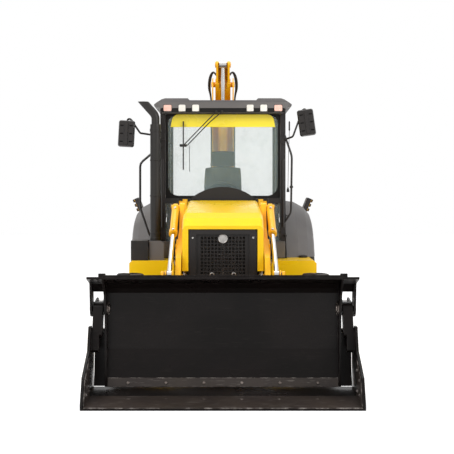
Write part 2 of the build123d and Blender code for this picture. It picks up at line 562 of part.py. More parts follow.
# section of the fender: (sideways, distance outside the tyre)
FENDER_OUTER = [(740, 270), (880, 250), (1000, 185), (1070, 105), (1090, 45)]
FENDER_INNER = [(1068, 40), (1050, 97), (986, 169), (872, 230), (740, 250)]
with BuildPart() as fenders:
    for sx in SIDES:
        with BuildSketch(Plane(origin=at(0, REAR_TYRE_R), x_dir=(sx, 0, 0), z_dir=(0, -sx, 0))):
            with BuildLine():
                Polyline(*[(x, REAR_TYRE_R + r) for x, r in FENDER_OUTER + FENDER_INNER], close=True)
            make_face()
        revolve(axis=Axis(at(0, REAR_TYRE_R), (1, 0, 0)), revolution_arc=360)
    block((-1200, 1200), (-1200, 1200), (-400, FENDER_LOW), Mode.SUBTRACT)
    block((-1200, 1200), (-1200, -600), (900, 2000), Mode.SUBTRACT)
    for sx in SIDES:
        block((sx * (CAB_X + FIT), sx * 745), (-600, -30), (1560, 1640))
save(fenders, "rear_fenders")

# ---------------------------------------------------------------- exhaust, mirrors, rails
EXHAUST = (1300.0, -757.0)       # (forward, sideways)
EXHAUST_R = 60.0
TAILPIPE_R = 46.0
with BuildPart() as exhaust:
    bar(at(EXHAUST[0], 1180, EXHAUST[1]), at(EXHAUST[0], 2560, EXHAUST[1]), EXHAUST_R)
    bar(at(EXHAUST[0], 1040 + FIT, EXHAUST[1]), at(EXHAUST[0], 1190, EXHAUST[1]), 40)
    for z in (1260, 2480):
        bar(at(EXHAUST[0], z, EXHAUST[1]), at(EXHAUST[0], z + 30, EXHAUST[1]), EXHAUST_R + 5)
    with BuildSketch(Plane(origin=at(EXHAUST[0], 2560, EXHAUST[1]))):
        Circle(TAILPIPE_R)
    with BuildLine(front(EXHAUST[0])):
        FilletPolyline((EXHAUST[1], 2560), (EXHAUST[1], 2660), (EXHAUST[1] - 170, 2850), radius=110)
    sweep()
    block((EXHAUST[1] - 300, EXHAUST[1] + 100), (EXHAUST[0] - 100, EXHAUST[0] + 100), (2815, 2960), Mode.SUBTRACT)
    # air cleaner box on the tank, beside the stack
    block((EXHAUST[1] - 265, EXHAUST[1] - 76), (EXHAUST[0] - 160, EXHAUST[0] + 130), (1040 + FIT, 1260))
    block((EXHAUST[1] - 90, EXHAUST[1]), (EXHAUST[0] - 30, EXHAUST[0] + 30), (1190, 1240))
save(exhaust, "exhaust_stack")

# side, mirror centre (sideways, up), lean of the housing, height of the arm's foot on the cab
MIRRORS = [(-1, 1090, 2460, radians(-3), 2440), (1, 945, 2585, radians(8), 2400)]
MIRROR_S = 1240.0
with BuildPart() as mirrors:
    for sx, mx, mz, lean, foot in MIRRORS:
        # bowed housing, deepest at its middle rib
        housing = Plane(origin=at(MIRROR_S, mz, sx * mx), x_dir=(cos(lean), 0, sin(lean)), z_dir=(0, -1, 0))
        for depth, taper in ((34, 16), (-26, 0)):
            with BuildSketch(housing):
                RectangleRounded(182, 300, 26)
            extrude(amount=depth, taper=taper)
        with BuildSketch(housing):
            RectangleRounded(34, 250, 16)
        extrude(amount=48)
        with BuildSketch(Plane(origin=at(CAB_FRONT + 18, foot, sx * (CAB_X - 22)), z_dir=(0, -1, 0))):
            Circle(11)
        with BuildLine():
            FilletPolyline(at(CAB_FRONT + 18, foot, sx * (CAB_X - 22)), at(MIRROR_S - 60, foot + 30, sx * (mx - 150)),
                           at(MIRROR_S - 60, mz + 205, sx * (mx - 20)), at(MIRROR_S - 12, mz + 120, sx * mx),
                           radius=30)
        sweep()
        block((sx * (CAB_X - 50), sx * CAB_X), (CAB_FRONT + FIT, CAB_FRONT + 26), (foot - 40, foot + 40))
    for sx in SIDES:
        x = sx * (CAB_X - 30)
        bar(at(CAB_FRONT + 60, 1400, x), at(CAB_FRONT + 60, 2180, x), 14)
        for z in (1420, 2160):
            bar(at(CAB_FRONT + FIT, z, x), at(CAB_FRONT + 60, z, x), 10)
save(mirrors, "mirrors_and_handrails")

# ---------------------------------------------------------------- loader arms
with BuildPart() as arms:
    for sx in SIDES:
        x = sx * ARM_X
        plate([(1110, 1560), (1180, 1720), (2840, 1165), (3395, 410), (3360, 270), (3250, 300), (2740, 935),
               (2200, 1150)], x, ARM_W)
        web([(ARM_PIVOT[0], ARM_PIVOT[1], 78), (1500, 1515, 90)], x, ARM_W)
        web([(BUCKET_PIN[0], BUCKET_PIN[1], 72), (3200, 520, 90)], x, ARM_W)
        pin(ARM_PIVOT, sx * (TOWER_INNER + TOWER_T / 2 + 2), sx * (TOWER_OUTER - TOWER_T / 2 - 2), 60)
        pin(ARM_PIVOT, 0, sx * 600, 32 + FIT, Mode.SUBTRACT)
        # lift cylinder ears under the arm
        for ex in (LIFT_X - 33, LIFT_X + 33):
            web([(LIFT_EYE[0], LIFT_EYE[1], 52), (1960, 1262, 40), (2230, 1172, 40)], sx * ex, 14)
        block((sx * (LIFT_X - 40), sx * (LIFT_X + 40)), (1950, 2230), (1225, 1262))
        # tilt cylinder base and lever pivot
        web([(*TILT_BASE, 48), (1813, 1475, 40), (2023, 1405, 40)], x, ARM_W)
        pin(TILT_BASE, x, sx * (TILT_X + 44), 24)
        pin(LEVER_PIN, x, sx * (TILT_X + 44), 26)
        pin(BUCKET_PIN, x, sx * (ARM_X + 44), 30)
        pin(BUCKET_PIN, x, sx * (ARM_X - 52), 30)
        pin(LIFT_EYE, sx * (LIFT_X + 38), sx * (LIFT_X + 50), 30)
    bar(at(2940, 800, -ARM_X), at(2940, 800, ARM_X), 60)
save(arms, "loader_arms")


def cylinder_set(name, base, eye, gland_reach, barrel_r, rod_r, centres, eye_half, base_pin, eye_r, travel):
    """Barrel and rod of a cylinder, one pair for each centre x.

    Base and eye are side-view places, gland_reach is the rod showing at rest, and travel is how far the
    rod goes in and out from there.
    """
    back, out = travel
    gland = towards(eye, base, gland_reach)
    with BuildPart() as barrel:
        for x in centres:
            bar(at(*towards(base, eye, barrel_r * 0.9), x), at(*gland, x), barrel_r)
            bar(at(*towards(gland, base, 70), x), at(*gland, x), barrel_r + 5)
            pin(base, x - eye_half, x + eye_half, eye_r)
            bar(at(*towards(base, eye, 20), x), at(*towards(base, eye, 100), x), eye_half * 0.9)
            bar(at(*towards(gland, base, out + back + 35), x), at(*towards(gland, eye, 20), x), rod_r + FIT,
                Mode.SUBTRACT)
            pin(base, x - eye_half - 1, x + eye_half + 1, base_pin + FIT, Mode.SUBTRACT)
    save(barrel, f"{name}_barrels" if len(centres) > 1 else f"{name}_barrel")
    with BuildPart() as rod:
        for x in centres:
            bar(at(*towards(gland, base, out + 20), x), at(*towards(eye, base, 20), x), rod_r)
            pin(eye, x - eye_half, x + eye_half, eye_r)
    save(rod, f"{name}_rods" if len(centres) > 1 else f"{name}_rod")


cylinder_set("lift", LIFT_BASE, LIFT_EYE, 120, 42, 25, (-LIFT_X, LIFT_X), 24, 24, 44, (40, 726))
cylinder_set("tilt", TILT_BASE, LEVER_EYE, 776, 38, 22, (-TILT_X, TILT_X), 22, 24, 36, (110, 330))

with BuildPart() as levers:
    for sx in SIDES:
        for lx in (TILT_X - 32, TILT_X + 32):
            web([(*LEVER_PIN, 48), (*LEVER_EYE, 40), (*LINK_TOP, 36)], sx * lx, 12)
        pin(LEVER_PIN, sx * (TILT_X - 36), sx * (TILT_X + 36), 44)
        pin(LEVER_PIN, 0, sx * 700, 26 + FIT, Mode.SUBTRACT)
        pin(LEVER_EYE, sx * (TILT_X + 37), sx * (TILT_X + 43), 26)
save(levers, "tilt_levers")

with BuildPart() as links:
    for sx in SIDES:
        web([(*LINK_TOP, 30), (*LINK_LOW, 30)], sx * LINK_X, 22)
        pin(LINK_TOP, sx * LINK_X, sx * (LINK_X + 18), 22)
        pin(LINK_LOW, 0, sx * 700, 20 + FIT, Mode.SUBTRACT)
save(links, "tilt_links")

# ---------------------------------------------------------------- loader bucket
SHEET = 16.0
END_X = BUCKET_HALF - 140            # end plate of the mouldboard
BUCKET_BACK = [(3830, 1065), (3640, 1010), (3570, 900), (3537, 640), (3532, 400), (3548, 220), (3592, 75)]
with BuildPart() as bucket:
    with BuildSketch(side()):
        with BuildLine():
            Polyline(*BUCKET_BACK)
            offset(amount=SHEET, side=Side.RIGHT)
        make_face()
    extrude(amount=END_X, both=True)
    with BuildSketch(side()):
        with BuildLine():
            Polyline((3838, 1065), (3640, 1010), (3560, 930), (3560, 910), (3650, 990), (3838, 1045), close=True)
        make_face()
    extrude(amount=BUCKET_HALF, both=True)
    for sx in SIDES:
        web([(CLAM_PIN[0], CLAM_PIN[1], 70), (3560, 930, 50), (3640, 985, 20)], sx * (BUCKET_HALF - 10), 18)
        plate([(3838, 1060), (3640, 1010), (3500, 880), (3420, 700), (3420, 170), (3500, 150), (3590, 75),
               (3612, 75), (3640, 700), (3700, 900)], sx * END_X, 18)
        pin(CLAM_PIN, sx * END_X, sx * (BUCKET_HALF + 6), 28)
        pin(CLAM_BASE, sx * END_X, sx * (CLAM_X + 40), 24)
        for ex in (ARM_X - 37, ARM_X + 37):
            plate([(3540, 230), (3330, 275), (3270, 340), (3300, 400), (3524, 560)], sx * ex, 14)
        for ex in (LINK_X - 22, LINK_X + 22):
            plate([(3524, 420), (3460, 505), (3425, 530), (3420, 565), (3450, 590), (3528, 680)], sx * ex, 12)
        block((sx * (END_X - 20), sx * (END_X + 40)), (3790, 3822), (1050, 1092))
        pin(BUCKET_PIN, 0, sx * 700, 30 + FIT, Mode.SUBTRACT)
        pin(LINK_LOW, sx * (LINK_X - 32), sx * (LINK_X + 32), 20)
save(bucket, "loader_bucket")

SIDE_PLATE = 22.0
with BuildPart() as clam:
    with BuildSketch(side()):
        with BuildLine():
            Polyline((3520, 36), (4225, 0), (4225, 12), (4100, 36), (3700, 52), (3520, 60), close=True)
        make_face()
    extrude(amount=BUCKET_HALF, both=True)
    for sx in SIDES:
        plate([(3520, 36), (4225, 0), (4225, 40), (4130, 250), (3800, 420), (3720, 620), (3640, 620),
               (3500, 400)], sx * (BUCKET_HALF - SIDE_PLATE / 2), SIDE_PLATE)
        web([(CLAM_PIN[0], CLAM_PIN[1], 62), (3640, 560, 45)], sx * (CLAM_X + 4), 84)
        web([(3640, 560, 45), (3680, 420, 30)], sx * (CLAM_X + 30), 90)
        web([(CLAM_PIN[0], CLAM_PIN[1], 60), (CLAM_EYE[0], CLAM_EYE[1], 42)], sx * (CLAM_X - 36), 14)
        web([(CLAM_PIN[0], CLAM_PIN[1], 60), (CLAM_EYE[0], CLAM_EYE[1], 42)], sx * (CLAM_X + 36), 14)
        pin(CLAM_PIN, 0, sx * 1300, 28 + FIT, Mode.SUBTRACT)
save(clam, "bucket_clam")

cylinder_set("clam", CLAM_BASE, CLAM_EYE, 240, 34, 18, (-CLAM_X, CLAM_X), 22, 24, 34, (190, 10))

# ---------------------------------------------------------------- backhoe frame
PLATE_FRONT = LEG_S + 98
PLATE_REAR = LEG_S - 98
BEARING_R = 80.0             # nose of each bearing plate
LOWER_BEARING = (470.0, 530.0)
UPPER_BEARING = (760.0, 820.0)
FRAME_OUTLINE = [(-500, 560), (500, 560), (500, 740), (340, 1500), (-340, 1500), (-500, 740)]
with BuildPart() as hoe_frame:
    for s in (PLATE_FRONT, PLATE_REAR):
        with BuildSketch(front(s)):
            with BuildLine():
                Polyline(*FRAME_OUTLINE, close=True)
            make_face()
        extrude(amount=11, both=True)
    block((-110, 110), (PLATE_REAR, PLATE_FRONT), (560, 1500))
    block((-FRAME_X - 40, FRAME_X + 40), (PLATE_FRONT, -780 - FIT), (850, 1000))
    for z0, z1 in (LOWER_BEARING, UPPER_BEARING):
        with BuildSketch(Plane.XY.offset(z0)):
            with BuildLine():
                Polyline((-330, REAR_AXLE_Y - PLATE_REAR - 10), (330, REAR_AXLE_Y - PLATE_REAR - 10),
                         (BEARING_R, REAR_AXLE_Y - SWING_AXIS - 165), (BEARING_R, REAR_AXLE_Y - SWING_AXIS),
                         (-BEARING_R, REAR_AXLE_Y - SWING_AXIS), (-BEARING_R, REAR_AXLE_Y - SWING_AXIS - 165),
                         close=True)
            make_face()
            with Locations((0, REAR_AXLE_Y - SWING_AXIS)):
                Circle(BEARING_R)
        extrude(amount=z1 - z0)
    block((-250, 250), (PLATE_REAR - 11, PLATE_REAR + 11), (470, 560))
    bar(at(SWING_AXIS, 420), at(SWING_AXIS, 826), 45)
    for sx in SIDES:
        for place, r in ((LEG_PIVOT, 30), (LEG_BASE, 24)):
            bar(at(PLATE_FRONT, place[1], sx * place[0]), at(PLATE_REAR, place[1], sx * place[0]), r)
save(hoe_frame, "backhoe_frame")

with BuildPart() as post:
    bar(at(SWING_AXIS, LOWER_BEARING[1] + 2), at(SWING_AXIS, UPPER_BEARING[0] - 2), 85)
    for sx in SIDES:
        web([(*BOOM_FOOT, 70), (-1400, 600, 60), (-1400, 690, 60)], sx * 95, 30)
        web([(*BOOM_FOOT, 62), (-1500, 880, 40), (BOOM_CYL_BASE[0], BOOM_CYL_BASE[1] + 10, 60)], sx * 95, 30)
    block((-120, 120), (SWING_AXIS - BEARING_R - 10, SWING_AXIS + 200), (UPPER_BEARING[0] - 6, UPPER_BEARING[1] + 10),
          Mode.SUBTRACT)
    bar(at(SWING_AXIS, 500), at(SWING_AXIS, 1100), 45 + FIT, Mode.SUBTRACT)
    pin(BOOM_FOOT, -165, 165, 32)
    pin(BOOM_CYL_BASE, -100, 100, 30)
save(post, "swing_post")


# ---------------------------------------------------------------- boom
BOOM_AXIS = atan2(BOOM_TIP[1] - BOOM_FOOT[1], BOOM_TIP[0] - BOOM_FOOT[0])
BOOM_LENGTH = hypot(BOOM_TIP[0] - BOOM_FOOT[0], BOOM_TIP[1] - BOOM_FOOT[1])


def on_boom(along, ahead):
    """Side-view place on the boom: along its pins, and ahead towards the cab."""
    return (BOOM_FOOT[0] + along * cos(BOOM_AXIS) + ahead * sin(BOOM_AXIS),
            BOOM_FOOT[1] + along * sin(BOOM_AXIS) - ahead * cos(BOOM_AXIS))


BOOM_CYL_EYE = on_boom(1004, 64)
CROWD_BASE = on_boom(1400, 60)
BOOM_SIDE = [on_boom(*p) for p in ((-40, -50), (500, -110), (1300, -130), (2300, -110), (BOOM_LENGTH + 60, -70),
                                   (BOOM_LENGTH + 90, 30), (BOOM_LENGTH - 40, 120), (2250, 150), (1300, 160),
                                   (900, 150), (500, 90), (115, 50), (10, 50), (-50, 25))]
with BuildPart() as boom:
    for sx in SIDES:
        plate(BOOM_SIDE, sx * (BOOM_HALF - BOOM_PLATE / 2), BOOM_PLATE)
    plate([on_boom(*p) for p in ((175, -72), (500, -108), (1300, -128), (BOOM_LENGTH - 430, -112),
                                 (BOOM_LENGTH - 430, -94), (1300, -110), (500, -90), (175, -56))],
          0, 2 * BOOM_HALF - 4)
    pin(BOOM_FOOT, -BOOM_HALF, -114, 62)
    pin(BOOM_FOOT, BOOM_HALF, 114, 62)
    pin(BOOM_FOOT, -200, 200, 32 + FIT, Mode.SUBTRACT)
    pin(CROWD_BASE, -BOOM_HALF - 8, BOOM_HALF + 8, 28)
    for sx in SIDES:
        pin(BOOM_CYL_EYE, sx * BOOM_HALF, sx * (BOOM_HALF + 10), 34)
    pin(BOOM_TIP, -BOOM_HALF - 12, BOOM_HALF + 12, 36)
save(boom, "boom")

cylinder_set("boom", BOOM_CYL_BASE, BOOM_CYL_EYE, 130, 54, 32, (0,), 45, 30, 52, (5, 365))
cylinder_set("crowd", CROWD_BASE, CROWD_EYE, 548, 66, 32, (0,), 48, 28, 52, (480, 10))

# ---------------------------------------------------------------- dipper


def on_dipper(along, out):
    """Side-view place on the dipper: along its pins, and out on its back."""
    c, s = cos(DIPPER_ANGLE), sin(DIPPER_ANGLE)
    return (BOOM_TIP[0] + along * c + out * s, BOOM_TIP[1] + along * s - out * c)


DIGGER_PIN = on_dipper(DIPPER_LENGTH, 0)
DIGGER_LEVER = on_dipper(DIPPER_LENGTH - 390, 0)
DIGGER_LEVER_EYE = on_dipper(DIPPER_LENGTH - 120, 230)
DIGGER_LINK_PIN = on_dipper(DIPPER_LENGTH + 202, -17)
DIGGER_CYL_BASE = on_dipper(388, 139)
DIPPER_HALF = 105.0
with BuildPart() as dipper:
    plate([on_dipper(*p) for p in ((-60, -70), (300, -120), (1000, -95), (DIPPER_LENGTH, -55),
                                   (DIPPER_LENGTH + 55, 0), (DIPPER_LENGTH, 55),
                                   (1000, 40), (460, 60), (200, 60), (-60, 60))], 0, 2 * DIPPER_HALF)
    for sx in SIDES:
        web([(*CROWD_EYE, 50), (*BOOM_TIP, 80), (*on_dipper(120, 20), 70)], sx * 80, 30)
        web([(*DIGGER_CYL_BASE, 46), (*on_dipper(250, 20), 60), (*on_dipper(520, 0), 50)], sx * 64, 20)
        pin(CROWD_EYE, sx * 95, sx * 108, 38)
    block((-52, 52), (-1500, -900), (3380, 3800), Mode.SUBTRACT)
    block((-52, 52), (-1255, -900), (3100, 3800), Mode.SUBTRACT)
    web([(*DIGGER_CYL_BASE, 62), (*on_dipper(600, 160), 70)], 0, 96, Mode.SUBTRACT)
    pin(DIGGER_CYL_BASE, -80, 80, 24)
    pin(DIGGER_LEVER, -DIPPER_HALF - 30, DIPPER_HALF + 30, 26)
    pin(DIGGER_PIN, -DIPPER_HALF - 101, DIPPER_HALF + 101, 30)
    pin(BOOM_TIP, -200, 200, 36 + FIT, Mode.SUBTRACT)
save(dipper, "dipper")

cylinder_set("digger", DIGGER_CYL_BASE, DIGGER_LEVER_EYE, 480, 46, 26, (0,), 36, 24, 44, (380, 10))

with BuildPart() as digger_levers:
    for sx in SIDES:
        web([(*DIGGER_LEVER, 42), (*DIGGER_LEVER_EYE, 42)], sx * (DIPPER_HALF + 14), 20)
        pin(DIGGER_LEVER_EYE, sx * (DIPPER_HALF + 4), sx * 42, 30)
    pin(DIGGER_LEVER, -200, 200, 26 + FIT, Mode.SUBTRACT)
save(digger_levers, "digger_levers")

with BuildPart() as digger_link:
    for sx in SIDES:
        web([(*DIGGER_LEVER_EYE, 36), (*DIGGER_LINK_PIN, 36)], sx * (DIPPER_HALF + 40), 18)
        pin(DIGGER_LEVER_EYE, sx * (DIPPER_HALF + 40), sx * (DIPPER_HALF + 58), 26)
    pin(DIGGER_LINK_PIN, -200, 200, 26 + FIT, Mode.SUBTRACT)
save(digger_link, "digger_link")


def on_digger(along, under):
    """Side-view place on the digger bucket: along its tooth radius, and under it."""
    c, s = cos(DIGGER_ANGLE), sin(DIGGER_ANGLE)
    return (DIGGER_PIN[0] + along * c + under * s, DIGGER_PIN[1] + along * s - under * c)


BUCKET_SHELL = [(780, 20), (700, 260), (520, 450), (280, 480), (60, 380), (30, 330)]
with BuildPart() as digger:
    with BuildSketch(side()):
        with BuildLine():
            Polyline(*[on_digger(*p) for p in BUCKET_SHELL])
            offset(amount=14, side=Side.BOTH)
        make_face()
    extrude(amount=DIGGER_HALF, both=True)
    for sx in SIDES:
        plate([on_digger(*p) for p in ((780, 0), *BUCKET_SHELL, (60, 110), (300, 100), (640, 10))],
              sx * (DIGGER_HALF - 9), 18)
        web([(*DIGGER_PIN, 62), (*DIGGER_LINK_PIN, 46), (*on_digger(110, 375), 30), (*on_digger(260, 440), 30)],
            sx * 172, 20)
        pin(DIGGER_PIN, sx * 158, sx * 200, 46)
    for i in range(5):
        x = -DIGGER_HALF + 50 + i * (2 * DIGGER_HALF - 100) / 4
        plate([on_digger(*p) for p in ((DIGGER_REACH, -10), (760, 55), (740, 20), (760, -5))], x, 55)
    pin(DIGGER_PIN, -400, 400, 30 + FIT, Mode.SUBTRACT)
    pin(DIGGER_LINK_PIN, -192, 192, 26)
save(digger, "digger_bucket")

# ---------------------------------------------------------------- stabilizers
for sx in SIDES:
    knee = (LEG_PIVOT[0] + LEG_LENGTH * cos(LEG_ANGLE), LEG_PIVOT[1] + LEG_LENGTH * sin(LEG_ANGLE))
    eye = (LEG_PIVOT[0] + LEG_EYE_REACH * cos(LEG_ANGLE), LEG_PIVOT[1] + LEG_EYE_REACH * sin(LEG_ANGLE))
    with BuildPart() as leg:
        with BuildSketch(front(LEG_S)):
            for (px, pz, r) in ((*LEG_PIVOT, 62), (*knee, 46)):
                with Locations((sx * px, pz)):
                    Circle(r)
            make_hull()
        extrude(amount=60, both=True)
        across = (-sin(LEG_ANGLE), cos(LEG_ANGLE))
        slot = [(eye[0] + a * cos(LEG_ANGLE) + b * across[0], eye[1] + a * sin(LEG_ANGLE) + b * across[1])
                for a, b in ((-170, -70), (220, -70), (220, 200), (-170, 200))]
        with BuildSketch(front(LEG_S)):
            with BuildLine():
                Polyline(*[(sx * p[0], p[1]) for p in slot], close=True)
            make_face()
        extrude(amount=42, both=True, mode=Mode.SUBTRACT)
        bar(at(PLATE_FRONT + 40, LEG_PIVOT[1], sx * LEG_PIVOT[0]), at(PLATE_REAR - 40, LEG_PIVOT[1], sx * LEG_PIVOT[0]),
            30 + FIT, Mode.SUBTRACT)
        for s0, s1 in ((LEG_S + 60, LEG_S + 70), (LEG_S - 60, LEG_S - 70)):
            bar(at(s0, eye[1], sx * eye[0]), at(s1, eye[1], sx * eye[0]), 34)
        # street pad, its ribbed face outwards while the leg is up
        pad = [(knee[0] + a * cos(radians(68)) + b * sin(radians(68)), knee[1] + a * sin(radians(68)) - b * cos(radians(68)))
               for a, b in ((-210, 40), (210, 40), (210, 90), (-210, 90))]
        with BuildSketch(front(LEG_S)):
            with BuildLine():
                Polyline(*[(sx * p[0], p[1]) for p in pad], close=True)
            make_face()
        extrude(amount=140, both=True)
        for rib in range(7):
            along = -192 + 64 * rib
            cleat = [(knee[0] + a * cos(radians(68)) + b * sin(radians(68)),
                      knee[1] + a * sin(radians(68)) - b * cos(radians(68)))
                     for a, b in ((along - 12, 86), (along + 12, 86), (along + 8, 112), (along - 8, 112))]
            with BuildSketch(front(LEG_S)):
                with BuildLine():
                    Polyline(*[(sx * p[0], p[1]) for p in cleat], close=True)
                make_face()
            extrude(amount=140, both=True)
    save(leg, f"stabilizer_leg_{NAMES[sx]}")

    gland = towards(eye, LEG_BASE, 90)
    with BuildPart() as barrel:
        bar(at(LEG_S, LEG_BASE[1], sx * LEG_BASE[0]), at(LEG_S, gland[1], sx * gland[0]), 40)
        bar(at(LEG_S - 36, LEG_BASE[1], sx * LEG_BASE[0]), at(LEG_S + 36, LEG_BASE[1], sx * LEG_BASE[0]), 44)
        deep = towards(gland, LEG_BASE, 470)
        bar(at(LEG_S, deep[1], sx * deep[0]), at(LEG_S, eye[1], sx * eye[0]), 22 + FIT, Mode.SUBTRACT)
        bar(at(LEG_S - 60, LEG_BASE[1], sx * LEG_BASE[0]), at(LEG_S + 60, LEG_BASE[1], sx * LEG_BASE[0]), 24 + FIT,
            Mode.SUBTRACT)
    save(barrel, f"stabilizer_barrel_{NAMES[sx]}")
    with BuildPart() as rod:
        inside = towards(gland, LEG_BASE, 455)
        bar(at(LEG_S, inside[1], sx * inside[0]), at(LEG_S, eye[1], sx * eye[0]), 22)
        bar(at(LEG_S - 34, eye[1], sx * eye[0]), at(LEG_S + 34, eye[1], sx * eye[0]), 38)
    save(rod, f"stabilizer_rod_{NAMES[sx]}")
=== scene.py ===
"""Looks of the backhoe loader: paint, rubber, glass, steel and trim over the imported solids."""
import bmesh
import bpy
import math
from mathutils import Matrix, Vector


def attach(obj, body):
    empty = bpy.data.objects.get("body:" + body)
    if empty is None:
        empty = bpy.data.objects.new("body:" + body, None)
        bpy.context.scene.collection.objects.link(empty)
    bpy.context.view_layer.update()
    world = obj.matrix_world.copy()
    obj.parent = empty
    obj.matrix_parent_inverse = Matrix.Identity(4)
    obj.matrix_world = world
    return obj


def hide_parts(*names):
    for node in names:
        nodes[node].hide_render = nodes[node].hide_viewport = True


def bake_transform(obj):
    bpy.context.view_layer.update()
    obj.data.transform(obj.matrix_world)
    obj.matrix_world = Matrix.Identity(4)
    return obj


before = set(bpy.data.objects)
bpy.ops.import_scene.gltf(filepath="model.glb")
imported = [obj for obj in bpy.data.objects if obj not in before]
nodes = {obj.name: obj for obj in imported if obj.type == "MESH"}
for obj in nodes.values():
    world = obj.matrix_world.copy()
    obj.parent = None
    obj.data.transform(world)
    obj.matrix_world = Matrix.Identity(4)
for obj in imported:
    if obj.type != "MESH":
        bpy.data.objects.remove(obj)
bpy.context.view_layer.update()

# ---- camera, floor and lights
EYE = (0.0, -11.38, 1.78)            # 7.9 metres in front of the bucket's cutting edge
FOCAL_LENGTH = 76.4
SHIFT = (0.009, -0.073)
FLOOR_SIZE = 60.0


def rgb(red, green, blue):
    """Linear colour from display values of 0 to 255."""
    def linear(v):
        v /= 255.0
        return v / 12.92 if v <= 0.04045 else ((v + 0.055) / 1.055) ** 2.4
    return (linear(red), linear(green), linear(blue), 1.0)


def add_node(tree, kind, inputs=None, **settings):
    """New shader node; an input is a value or another node's output."""
    made = tree.nodes.new(kind)
    for key, value in settings.items():
        setattr(made, key, value)
    for key, value in (inputs or {}).items():
        if isinstance(value, bpy.types.NodeSocket):
            tree.links.new(value, made.inputs[key])
        else:
            made.inputs[key].default_value = value
    return made


MIX_A, MIX_B, MIX_OUT = 6, 7, 2      # colour sockets of the Mix node


def mix_colour(tree, factor, first, second):
    """Colour between first and second."""
    mix = add_node(tree, "ShaderNodeMix", {0: factor, MIX_A: first, MIX_B: second}, data_type="RGBA")
    return mix.outputs[MIX_OUT]


def math_node(tree, operation, first, second, clamp=False):
    """Sum, product or other arithmetic of two values."""
    return add_node(tree, "ShaderNodeMath", {0: first, 1: second}, operation=operation,
                    use_clamp=clamp).outputs[0]


def ramp(tree, value, low, high, bottom=0.0, top=1.0):
    """Value remapped smoothly from low..high to bottom..top."""
    node = add_node(tree, "ShaderNodeMapRange",
                    {"Value": value, "From Min": low, "From Max": high, "To Min": bottom, "To Max": top},
                    interpolation_type="SMOOTHSTEP")
    return node.outputs["Result"]


def noise(tree, surface, scale, detail=3.0, roughness=0.55):
    """Cloudy noise of a given scale."""
    node = add_node(tree, "ShaderNodeTexNoise",
                    {"Vector": surface, "Scale": scale, "Detail": detail, "Roughness": roughness})
    return node.outputs["Fac"]


def effect(name, inputs, outputs):
    """Empty node group with named inputs and outputs; returns tree, input sockets, output node."""
    group = bpy.data.node_groups.new(name, "ShaderNodeTree")
    for label, value in inputs:
        socket = group.interface.new_socket(label, in_out="INPUT", socket_type="NodeSocketFloat")
        socket.default_value = value
    for label, kind in outputs:
        group.interface.new_socket(label, in_out="OUTPUT", socket_type="NodeSocket" + kind)
    return group, group.nodes.new("NodeGroupInput").outputs, group.nodes.new("NodeGroupOutput")


def edge_effect():
    """Rounded corners as a normal, and a mask that is 1 on worn corners."""
    group, given, out = effect("worn_edges", [("Radius", 0.004), ("Wear", 0.5), ("Scale", 14.0)],
                               [("Normal", "Vector"), ("Mask", "Float")])
    surface = add_node(group, "ShaderNodeTexCoord").outputs["Object"]
    rounded = add_node(group, "ShaderNodeBevel", {"Radius": given["Radius"]}, samples=4)
    flat = add_node(group, "ShaderNodeNewGeometry").outputs["Normal"]
    along = add_node(group, "ShaderNodeVectorMath", {0: rounded.outputs[0], 1: flat},
                     operation="DOT_PRODUCT")
    corner = ramp(group, along.outputs["Value"], 0.995, 0.90)
    patchy = ramp(group, noise(group, surface, given["Scale"], 5.0), 0.42, 0.62)
    worn = math_node(group, "MULTIPLY", math_node(group, "MULTIPLY", corner, patchy), given["Wear"], True)
    group.links.new(rounded.outputs[0], out.inputs["Normal"])
    group.links.new(worn, out.inputs["Mask"])
    return group


def dust_effect():
    """Dust that lies on level faces and gathers near the ground."""
    group, given, out = effect("dust", [("Amount", 0.3), ("Reach", 1.2), ("Scale", 3.0)],
                               [("Mask", "Float")])
    surface = add_node(group, "ShaderNodeTexCoord").outputs["Object"]
    height = add_node(group, "ShaderNodeSeparateXYZ", {0: surface}).outputs["Z"]
    facing = add_node(group, "ShaderNodeSeparateXYZ",
                      {0: add_node(group, "ShaderNodeNewGeometry").outputs["Normal"]}).outputs["Z"]
    level = ramp(group, facing, 0.4, 1.0)
    low = math_node(group, "SUBTRACT", 1.0, math_node(group, "DIVIDE", height, given["Reach"]), True)
    cloudy = ramp(group, noise(group, surface, given["Scale"], 6.0, 0.65), 0.35, 0.75)
    lying = math_node(group, "ADD", math_node(group, "MULTIPLY", level, 0.5), low, True)
    mask = math_node(group, "MULTIPLY", math_node(group, "MULTIPLY", lying, cloudy), given["Amount"], True)
    group.links.new(mask, out.inputs["Mask"])
    return group


def scratch_effect():
    """Fine scratches along two directions, as a mask."""
    group, given, out = effect("scratches", [("Scale", 6.0), ("Amount", 0.5)], [("Mask", "Float")])
    surface = add_node(group, "ShaderNodeTexCoord").outputs["Object"]
    marks = []
    for turn, stretch in ((0.3, (1.0, 14.0, 22.0)), (-0.5, (1.0, 30.0, 11.0))):
        mapping = add_node(group, "ShaderNodeMapping",
                           {"Vector": surface, "Rotation": (turn, turn, 0.0), "Scale": stretch})
        marks.append(ramp(group, noise(group, mapping.outputs[0], given["Scale"], 4.0), 0.62, 0.70))
    both = math_node(group, "MAXIMUM", *marks)
    group.links.new(math_node(group, "MULTIPLY", both, given["Amount"], True), out.inputs["Mask"])
    return group


def grain_effect():
    """Fine surface grain, as a height."""
    group, given, out = effect("grain", [("Scale", 200.0), ("Coarse", 0.4)], [("Height", "Float")])
    surface = add_node(group, "ShaderNodeTexCoord").outputs["Object"]
    fine = noise(group, surface, given["Scale"], 2.0)
    broad = noise(group, surface, math_node(group, "MULTIPLY", given["Scale"], 0.12), 2.0)
    group.links.new(math_node(group, "ADD", fine, math_node(group, "MULTIPLY", broad, given["Coarse"])),
                    out.inputs["Height"])
    return group


WORN_EDGES = edge_effect()
DUST = dust_effect()
SCRATCHES = scratch_effect()
GRAIN = grain_effect()


